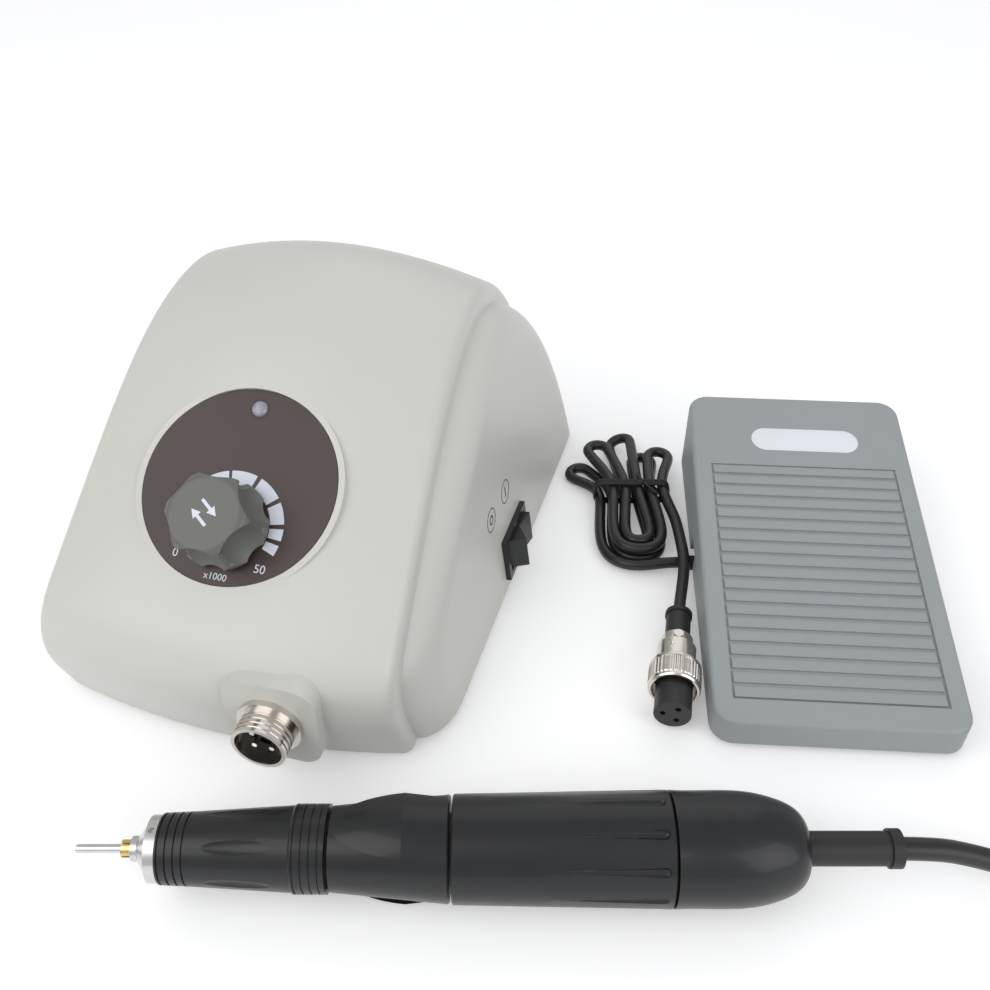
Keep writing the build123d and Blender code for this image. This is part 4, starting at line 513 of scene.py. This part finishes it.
coil_step = 6.65        # from turn to turn, and from layer to layer
coil_turns = 2.875      # in each layer
coil_x = 196.43
coil_y = -76.82
coil_radius = 40.5
coil_low = 3.2
turn_points = 12        # control points in a turn
guard_run = [
    (100.93, -111.82, 14.8), (108.0, -111.82, 14.6), (116.43, -111.82, 13.4), (133.43, -113.32, 8.1),
    (151.43, -116.32, 4.5), (172.43, -117.32, 3.3), (186.0, -117.32, coil_low),
]
coil_tail = [(236.93, -68.0, 9.85), (236.93, -56.82, 9.85)]


def motor_route():
    """Inwards in the lower layer, up within half a turn, and outwards again in the upper layer."""
    route = list(guard_run)
    total = coil_turns * 2 + 0.5
    for n in range(round(total * turn_points)):
        turns = (n + 0.5) / turn_points
        past = turns - coil_turns
        if past < 0:
            run, rise = turns, 0
        elif past > 0.5:
            run, rise = total - turns, 1
        else:
            run, rise = coil_turns + 0.125 * (1 - abs(past * 4 - 1)), past * 2
        reach = (coil_radius - coil_step * run) / cos(pi / turn_points)
        angle = radians(turns * 360 - 90)
        route.append((coil_x + reach * cos(angle), coil_y + reach * sin(angle), coil_low + coil_step * rise))
    return route + coil_tail


motor_cord = cord_curve("motor_cord", motor_route(), 3.0, cord_rubber, "handpiece")
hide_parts("handpiece_cord", "handpiece_cord_coil")


# Print, labels and symbols

plate_thickness = 1.0
knob_air = 2.2          # under the knob, for its push
knob_height = 14.5
print_thickness = 0.03
print_lift = 0.035      # the print's upper face, over its surface
scale_inner = 12.3      # radii of the speed scale
scale_outer = 16.4
scale_angles = ((-38, -14.5), (-11, 17), (22, 50), (55, 78), (83, 95), (100, 111))
lens_offset = 23.4      # up the slope from the plate's centre
capital_share = 0.72    # a figure's height, as a share of the type's size
label_half = 13.6       # from the label's middle to the centres of its round ends
label_radius = 5.3
label_thickness = 0.12
label_y = 113.5         # up the treadle's slope
treadle_slope = 10.02
mark_lift = 0.05
mark_inner = 3.75
mark_outer = 4.15


def sheet(mesh, thickness):
    """Turns a flat figure's faces up and gives them a thickness."""
    mesh.normal_update()
    for face in mesh.faces:
        if face.normal.z < 0:
            face.normal_flip()
    bmesh.ops.solidify(mesh, geom=mesh.faces[:], thickness=thickness * mm)
    return mesh


def sector(inner, outer, start, end, height):
    """A piece of a ring: its angles run clockwise from +Y."""
    mesh = bmesh.new()
    ends = [mesh.verts.new((0, radius * mm, height * mm)) for radius in (inner, outer)]
    edge = mesh.edges.new(ends)
    bmesh.ops.rotate(mesh, verts=ends, matrix=Matrix.Rotation(-radians(start), 3, "Z"))
    full = end - start >= 360
    bmesh.ops.spin(
        mesh, geom=[*ends, edge], axis=(0, 0, 1), cent=(0, 0, 0), angle=-radians(end - start),
        steps=max(3, round((end - start) / 6)), use_merge=full,
    )
    return sheet(mesh, print_thickness)


def scale_bars():
    """The speed scale: printed bars round the knob, the last two shorter."""
    for n, (start, end) in enumerate(scale_angles):
        bar = sector(scale_inner, scale_outer, start, end, plate_thickness + print_lift)
        piece_of("scale_bar_%d" % (n + 1), bar, white_print, "control_unit", knob)


def lettering(name, words, height, finish, body, matrix):
    """Plain printed figures, centred on a frame."""
    curve = bpy.data.curves.new(name, "FONT")
    curve.body = words
    curve.size = height / capital_share * mm
    curve.align_x = "CENTER"
    curve.align_y = "CENTER"
    curve.resolution_u = 4
    curve.extrude = print_thickness / 2 * mm
    holder = bpy.data.objects.new(name, curve)
    bpy.context.scene.collection.objects.link(holder)
    ready = holder.evaluated_get(bpy.context.evaluated_depsgraph_get())
    data = bpy.data.meshes.new_from_object(ready)
    mesh = bmesh.new()
    mesh.from_mesh(data)
    bpy.data.objects.remove(holder)
    bpy.data.curves.remove(curve)
    bpy.data.meshes.remove(data)
    bmesh.ops.remove_doubles(mesh, verts=mesh.verts[:], dist=0.0005 * mm)
    return piece_of(name, mesh, finish, body, matrix)


def dial_figures():
    """The ends of the speed scale and its factor."""
    for name, words, height, x, y in (
        ("scale_zero", "0", 2.5, -13.3, -21.9),
        ("scale_fifty", "50", 2.5, 12.4, -22.3),
        ("scale_factor", "x1000", 2.0, 0.2, -26.5),
    ):
        place = dial @ shift(x, y, plate_thickness + print_thickness)
        lettering(name, words, height, white_print, "control_unit", place)


def arrow(turned):
    """A plain arrow beside the origin, turned about it."""
    mesh = bmesh.new()
    points = [(-3.2, -0.45), (0.6, -0.45), (0.6, -1.4), (3.2, 0), (0.6, 1.4), (0.6, 0.45), (-3.2, 0.45)]
    mesh.faces.new([mesh.verts.new((x * mm, y * mm, 0)) for x, y in points])
    sheet(mesh, print_thickness)
    bmesh.ops.transform(mesh, matrix=shift(0, 1.9, 0), verts=mesh.verts[:])
    bmesh.ops.rotate(mesh, verts=mesh.verts[:], matrix=Matrix.Rotation(radians(turned), 3, "Z"))
    return mesh


def knob_arrows():
    """Two opposite arrows on the knob: it is pushed to reverse the tool."""
    top = knob @ shift(0, 0, plate_thickness + knob_air + knob_height + print_lift)
    for n, turned in enumerate((-38, 142)):
        piece_of("knob_arrow_%d" % (n + 1), arrow(turned), white_print, "speed_knob", top)


def lens_hole_shade():
    """Painted shade of the hole round the lens: a thin dark ring laid on the plate."""
    rim = sector(2.42, 3.0, 0, 360, plate_thickness + 0.04)
    place = dial @ shift(0, lens_offset, 0)
    piece_of("lens_hole_shade", rim, black_plastic, "control_unit", place)


def pedal_label():
    """A bare pill of white film near the pedal's far end."""
    mesh = bmesh.new()
    bmesh.ops.create_circle(mesh, cap_ends=True, segments=48, radius=label_radius * mm)
    for vert in mesh.verts:
        vert.co.x += label_half * mm * (1 if vert.co.x > 1e-6 else -1 if vert.co.x < -1e-6 else 0)
    sheet(mesh, label_thickness)
    bevel_rim(mesh, 0.05)
    top = pedal @ shift(2.2, 0, 12.5) @ turn(treadle_slope, "X") @ shift(0, label_y, 0.1)
    smooth(piece_of("pedal_label", mesh, label_white, "treadle", top))


def bevel_rim(mesh, width, angle=50, segments=2):
    """Rounds the edges that turn by more than the angle."""
    edges = [
        edge for edge in mesh.edges
        if len(edge.link_faces) == 2 and edge.calc_face_angle(0) > radians(angle)
    ]
    bmesh.ops.bevel(
        mesh, geom=edges, offset=width * mm, offset_type="OFFSET", affect="EDGES", segments=segments,
        profile=0.5, material=-1,
    )
    return mesh


def on_wall(y, z):
    """A frame on the housing's right wall, +Z out of it, at a place of the unit."""
    start = unit @ shift(120, y, z)
    way = unit.to_3x3() @ Vector((-1, 0, 0))
    place, normal = nodes["housing_shell"].ray_cast(start.to_translation(), way)[1:3]
    up = unit.to_3x3() @ Vector((0, 0, 1))
    side = up.cross(normal).normalized()
    frame_axes = Matrix((side, normal.cross(side), normal)).transposed()
    return Matrix.Translation(place) @ frame_axes.to_4x4()


def switch_marks():
    """Off and on: a circle and a stroke, each in a thin ring, over the rocker."""
    for name, y, z in (("off", 75.5, 37.5), ("on", 91.0, 37.0)):
        place = on_wall(y, z)
        ring = sector(mark_inner, mark_outer, 0, 360, mark_lift)
        piece_of("mark_%s_ring" % name, ring, wall_print, "control_unit", place)
        if name == "off":
            mark = sector(1.1, 1.75, 0, 360, mark_lift)
        else:
            mark = bmesh.new()
            bmesh.ops.create_grid(mark, x_segments=1, y_segments=3, size=1.0 * mm)
            bmesh.ops.scale(mark, vec=(0.36, 1.9, 1), verts=mark.verts[:])
            bmesh.ops.translate(mark, vec=(0, 0, mark_lift * mm), verts=mark.verts[:])
            sheet(mark, print_thickness)
        piece_of("mark_%s" % name, mark, wall_print, "control_unit", place)


scale_bars()
dial_figures()
knob_arrows()
lens_hole_shade()
pedal_label()
switch_marks()


# The hank's tie and the plugs' rings

string_reach = 2.35     # from a strand's middle to the string's
boot_lengths = {"lead": 11.5, "motor": 15.0}
body_lengths = {"lead": 15.0, "motor": 18.0}


def tie_loop(height, lean):
    """One turn of the tie's string round all the strands."""
    half = strand_step * 2.5 + string_reach
    z = hank_low + waist_lift + strand_step / 2
    rise = strand_step / 2 + string_reach
    y = waist_y + height
    corners = [
        (half, -0.35), (half, 0.7), (half * 0.86, 1.0), (half * 0.4, 1.06), (0, 1.0), (-half * 0.4, 1.06),
        (-half * 0.86, 1.0), (-half, 0.7), (-half, -0.7), (-half * 0.86, -1.0), (0, -1.03),
        (half * 0.86, -1.0), (half, -0.7),
    ]
    return [
        (hank_x + x, y + lean * n / len(corners), z + share * rise) for n, (x, share) in enumerate(corners)
    ]


def hank_string():
    """Black string in three turns, a knot on top and two short tails."""
    z = hank_low + waist_lift + strand_step + 2.9
    route = [
        (hank_x + 9.0, waist_y - 6.5, z - 0.9), (hank_x + 6.0, waist_y - 3.4, z + 0.2),
        (hank_x + 3.4, waist_y - 0.6, z + 0.7),
    ]
    for n in range(3):
        route += tie_loop(-1.4 + 1.1 * n, 1.1)
    route += [
        (hank_x + 3.2, waist_y + 0.4, z + 0.7), (hank_x + 2.2, waist_y + 3.4, z + 0.1),
        (hank_x + 3.0, waist_y + 6.6, z - 1.0),
    ]
    string = cord_curve("hank_string", route, 0.5, string_black, "pedal_base")
    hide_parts("hank_tie")
    knot = bmesh.new()
    bmesh.ops.create_uvsphere(knot, u_segments=20, v_segments=12, radius=1.25 * mm)
    bmesh.ops.scale(knot, vec=(1.25, 1.0, 0.7), verts=knot.verts[:])
    for vert in knot.verts:
        vert.co *= 1 + 0.10 * sin(vert.co.x / mm * 3.4 + vert.co.y / mm * 2.1)
    place = shift(hank_x + 3.2, waist_y - 0.2, z - 0.1)
    smooth(piece_of("hank_knot", knot, string_black, "pedal_base", place))


def knurled_ring(plug, outer, thread, body_bore, length, lap, place, node):
    """A coupling ring: bored for thread and body, with a straight knurl between plain rims.

    node is both the solid it stands for and the body it rides on.
    """
    teeth = 40
    tooth = 0.28
    rim = length * 0.14
    profile = [
        (body_bore, 0), (outer - 0.5, 0), (outer - 0.1, 0.5), (outer - 0.1, rim), (outer - 0.45, rim + 0.25),
        (outer - tooth / 2, rim + 0.6), (outer - tooth / 2, length - rim - 0.6),
        (outer - 0.45, length - rim - 0.25), (outer - 0.1, length - rim), (outer - 0.1, length - 0.5),
        (outer - 0.5, length), (thread, length), (thread, lap / 2), (body_bore, lap / 2),
    ]
    mesh = bmesh.new()
    ring = [mesh.verts.new((radius * mm, 0, height * mm)) for radius, height in profile]
    edges = [mesh.edges.new(pair) for pair in zip(ring, ring[1:] + ring[:1])]
    bmesh.ops.spin(
        mesh, geom=ring + edges, axis=(0, 0, 1), cent=(0, 0, 0), angle=2 * pi, steps=teeth * 4,
        use_merge=True,
    )
    bmesh.ops.recalc_face_normals(mesh, faces=mesh.faces[:])
    for vert in mesh.verts:
        height = vert.co.z / mm
        reach = vert.co.xy.length / mm
        if reach > outer - tooth and rim + 0.4 < height < length - rim - 0.4:
            share = round(vert.co.xy.angle_signed(Vector((1, 0))) / (2 * pi) * teeth * 4) % 4
            vert.co.xy *= 1 + (tooth / 2 if share in (0, 1) else -tooth / 2) / reach
    start = boot_lengths[plug] + body_lengths[plug] - lap
    piece = piece_of(plug + "_ring", mesh, nickel, node, place @ shift(0, 0, start))
    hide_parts(node)
    return smooth(piece, 25)


def plug_screws(plug, body_radius, station, body, place):
    """Two slotted clamp screws, one each side of the plug's body; each slot is painted shade, a thin dark
    block on the head.
    """
    height = boot_lengths[plug] + station
    for n, side in enumerate((-1, 1)):
        mesh = bmesh.new()
        bmesh.ops.create_cone(
            mesh, cap_ends=True, segments=24, radius1=0.95 * mm, radius2=0.95 * mm, depth=0.9 * mm,
        )
        bevel_rim(mesh, 0.15)
        at = place @ turn(side * 90 + 20, "Z") @ shift(body_radius - 0.1, 0, height) @ turn(90, "Y")
        smooth(piece_of("%s_plug_screw_%d" % (plug, n + 1), mesh, pin_nickel, body, at))
        # Painted shade: the slot is not cut, and a thin dark block in the head stands in for the shade
        # inside it.
        slot_shade = bmesh.new()
        bmesh.ops.create_cube(slot_shade, size=1 * mm)
        bmesh.ops.scale(slot_shade, vec=(1.5, 0.22, 0.1), verts=slot_shade.verts[:])
        name = "%s_plug_slot_shade_%d" % (plug, n + 1)
        piece_of(name, slot_shade, black_plastic, body, at @ shift(0, 0, 0.42))


hank_string()
knurled_ring("lead", 8.2, 7.05, 6.25, 9.5, 3.5, pedal_plug, "pedal_plug_ring")
knurled_ring("motor", 9.68, 8.05, 7.25, 11.0, 4.0, motor_plug, "handpiece_plug_ring")
plug_screws("lead", 6.2, 7.0, "pedal_base", pedal_plug)
plug_screws("motor", 7.2, 8.0, "handpiece", motor_plug)


# The treadle's spring

def treadle_spring():
    """A coil that clears both pegs, drawn at rest; nothing here shortens it by the 5.7 mm of the pressed
    treadle.
    """
    low, high = (corner.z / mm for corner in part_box("pedal_spring"))
    wire = 0.55
    turns = 6
    steps = turns * 32
    mesh = bmesh.new()
    bmesh.ops.create_circle(mesh, cap_ends=False, segments=10, radius=wire * mm)
    bmesh.ops.transform(mesh, matrix=shift(5.65, 0, 0) @ turn(90, "X"), verts=mesh.verts[:])
    bmesh.ops.spin(
        mesh, geom=mesh.verts[:] + mesh.edges[:], axis=(0, 0, 1), cent=(0, 0, 0), angle=2 * pi * turns,
        steps=steps, dvec=(0, 0, (high - low - 2 * wire) / steps * mm),
    )
    bmesh.ops.holes_fill(mesh, edges=[edge for edge in mesh.edges if edge.is_boundary], sides=0)
    bmesh.ops.recalc_face_normals(mesh, faces=mesh.faces[:])
    place = pedal @ shift(0, 104, low + wire)
    spring = smooth(piece_of("treadle_spring", mesh, spring_steel, "pedal_base", place))
    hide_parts("pedal_spring")
    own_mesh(spring)


treadle_spring()


# Light and table

world_level = 0.62
table_half = 3.0        # metres
table_glow = 0.26


def studio():
    """An even white world, white behind the set, and three soft lamps."""
    world = bpy.data.worlds.new("studio")
    bpy.context.scene.world = world
    world.use_nodes = True
    background = world.node_tree.nodes["Background"]
    background.inputs["Color"].default_value = (0.98, 0.985, 1.0, 1)
    seen = world.node_tree.nodes.new("ShaderNodeLightPath")
    level = world.node_tree.nodes.new("ShaderNodeMapRange")
    level.inputs["To Min"].default_value = world_level
    level.inputs["To Max"].default_value = 1.0
    world.node_tree.links.new(seen.outputs["Is Camera Ray"], level.inputs["Value"])
    world.node_tree.links.new(level.outputs["Result"], background.inputs["Strength"])
    for name, place, size, power, colour in (
        ("window", (-0.75, -0.55, 0.95), 1.1, 6.4, (1.0, 0.99, 0.98)),
        ("fill", (0.70, -0.75, 0.55), 0.8, 3.4, (0.99, 0.99, 1.0)),
        ("rear", (0.2, 0.9, 0.9), 1.0, 1.4, (1.0, 1.0, 1.0)),
    ):
        data = bpy.data.lights.new(name, "AREA")
        data.size = size
        data.energy = power
        data.color = colour
        lamp = bpy.data.objects.new(name, data)
        bpy.context.scene.collection.objects.link(lamp)
        lamp.location = place
        lamp.rotation_euler = (Vector((0, 0, 0.03)) - Vector(place)).to_track_quat("-Z", "Y").to_euler()


def table():
    """A white table whose faint glow keeps it white in the picture and in reflections."""
    mesh = bmesh.new()
    bmesh.ops.create_grid(mesh, x_segments=1, y_segments=1, size=table_half)
    data = bpy.data.meshes.new("table")
    mesh.to_mesh(data)
    mesh.free()
    floor = bpy.data.objects.new("table", data)
    bpy.context.scene.collection.objects.link(floor)
    finish = Finish("table_white")
    finish.colour((0.86, 0.865, 0.87))
    finish.rough(0.7)
    seen = finish.node("LightPath", output="Is Camera Ray")
    mirrored = finish.node("LightPath", output="Is Glossy Ray")
    passed = finish.node("LightPath", output="Is Transmission Ray")
    glow = (seen + mirrored + passed) * table_glow
    lit = finish.node("CombineXYZ", None, {0: glow, 1: glow, 2: glow})
    finish.feed(finish.shader.inputs["Emission Color"], lit)
    finish.shader.inputs["Emission Strength"].default_value = 1.0
    data.materials.append(finish.material)


studio()
table()
bpy.context.scene.view_settings.view_transform = "Standard"
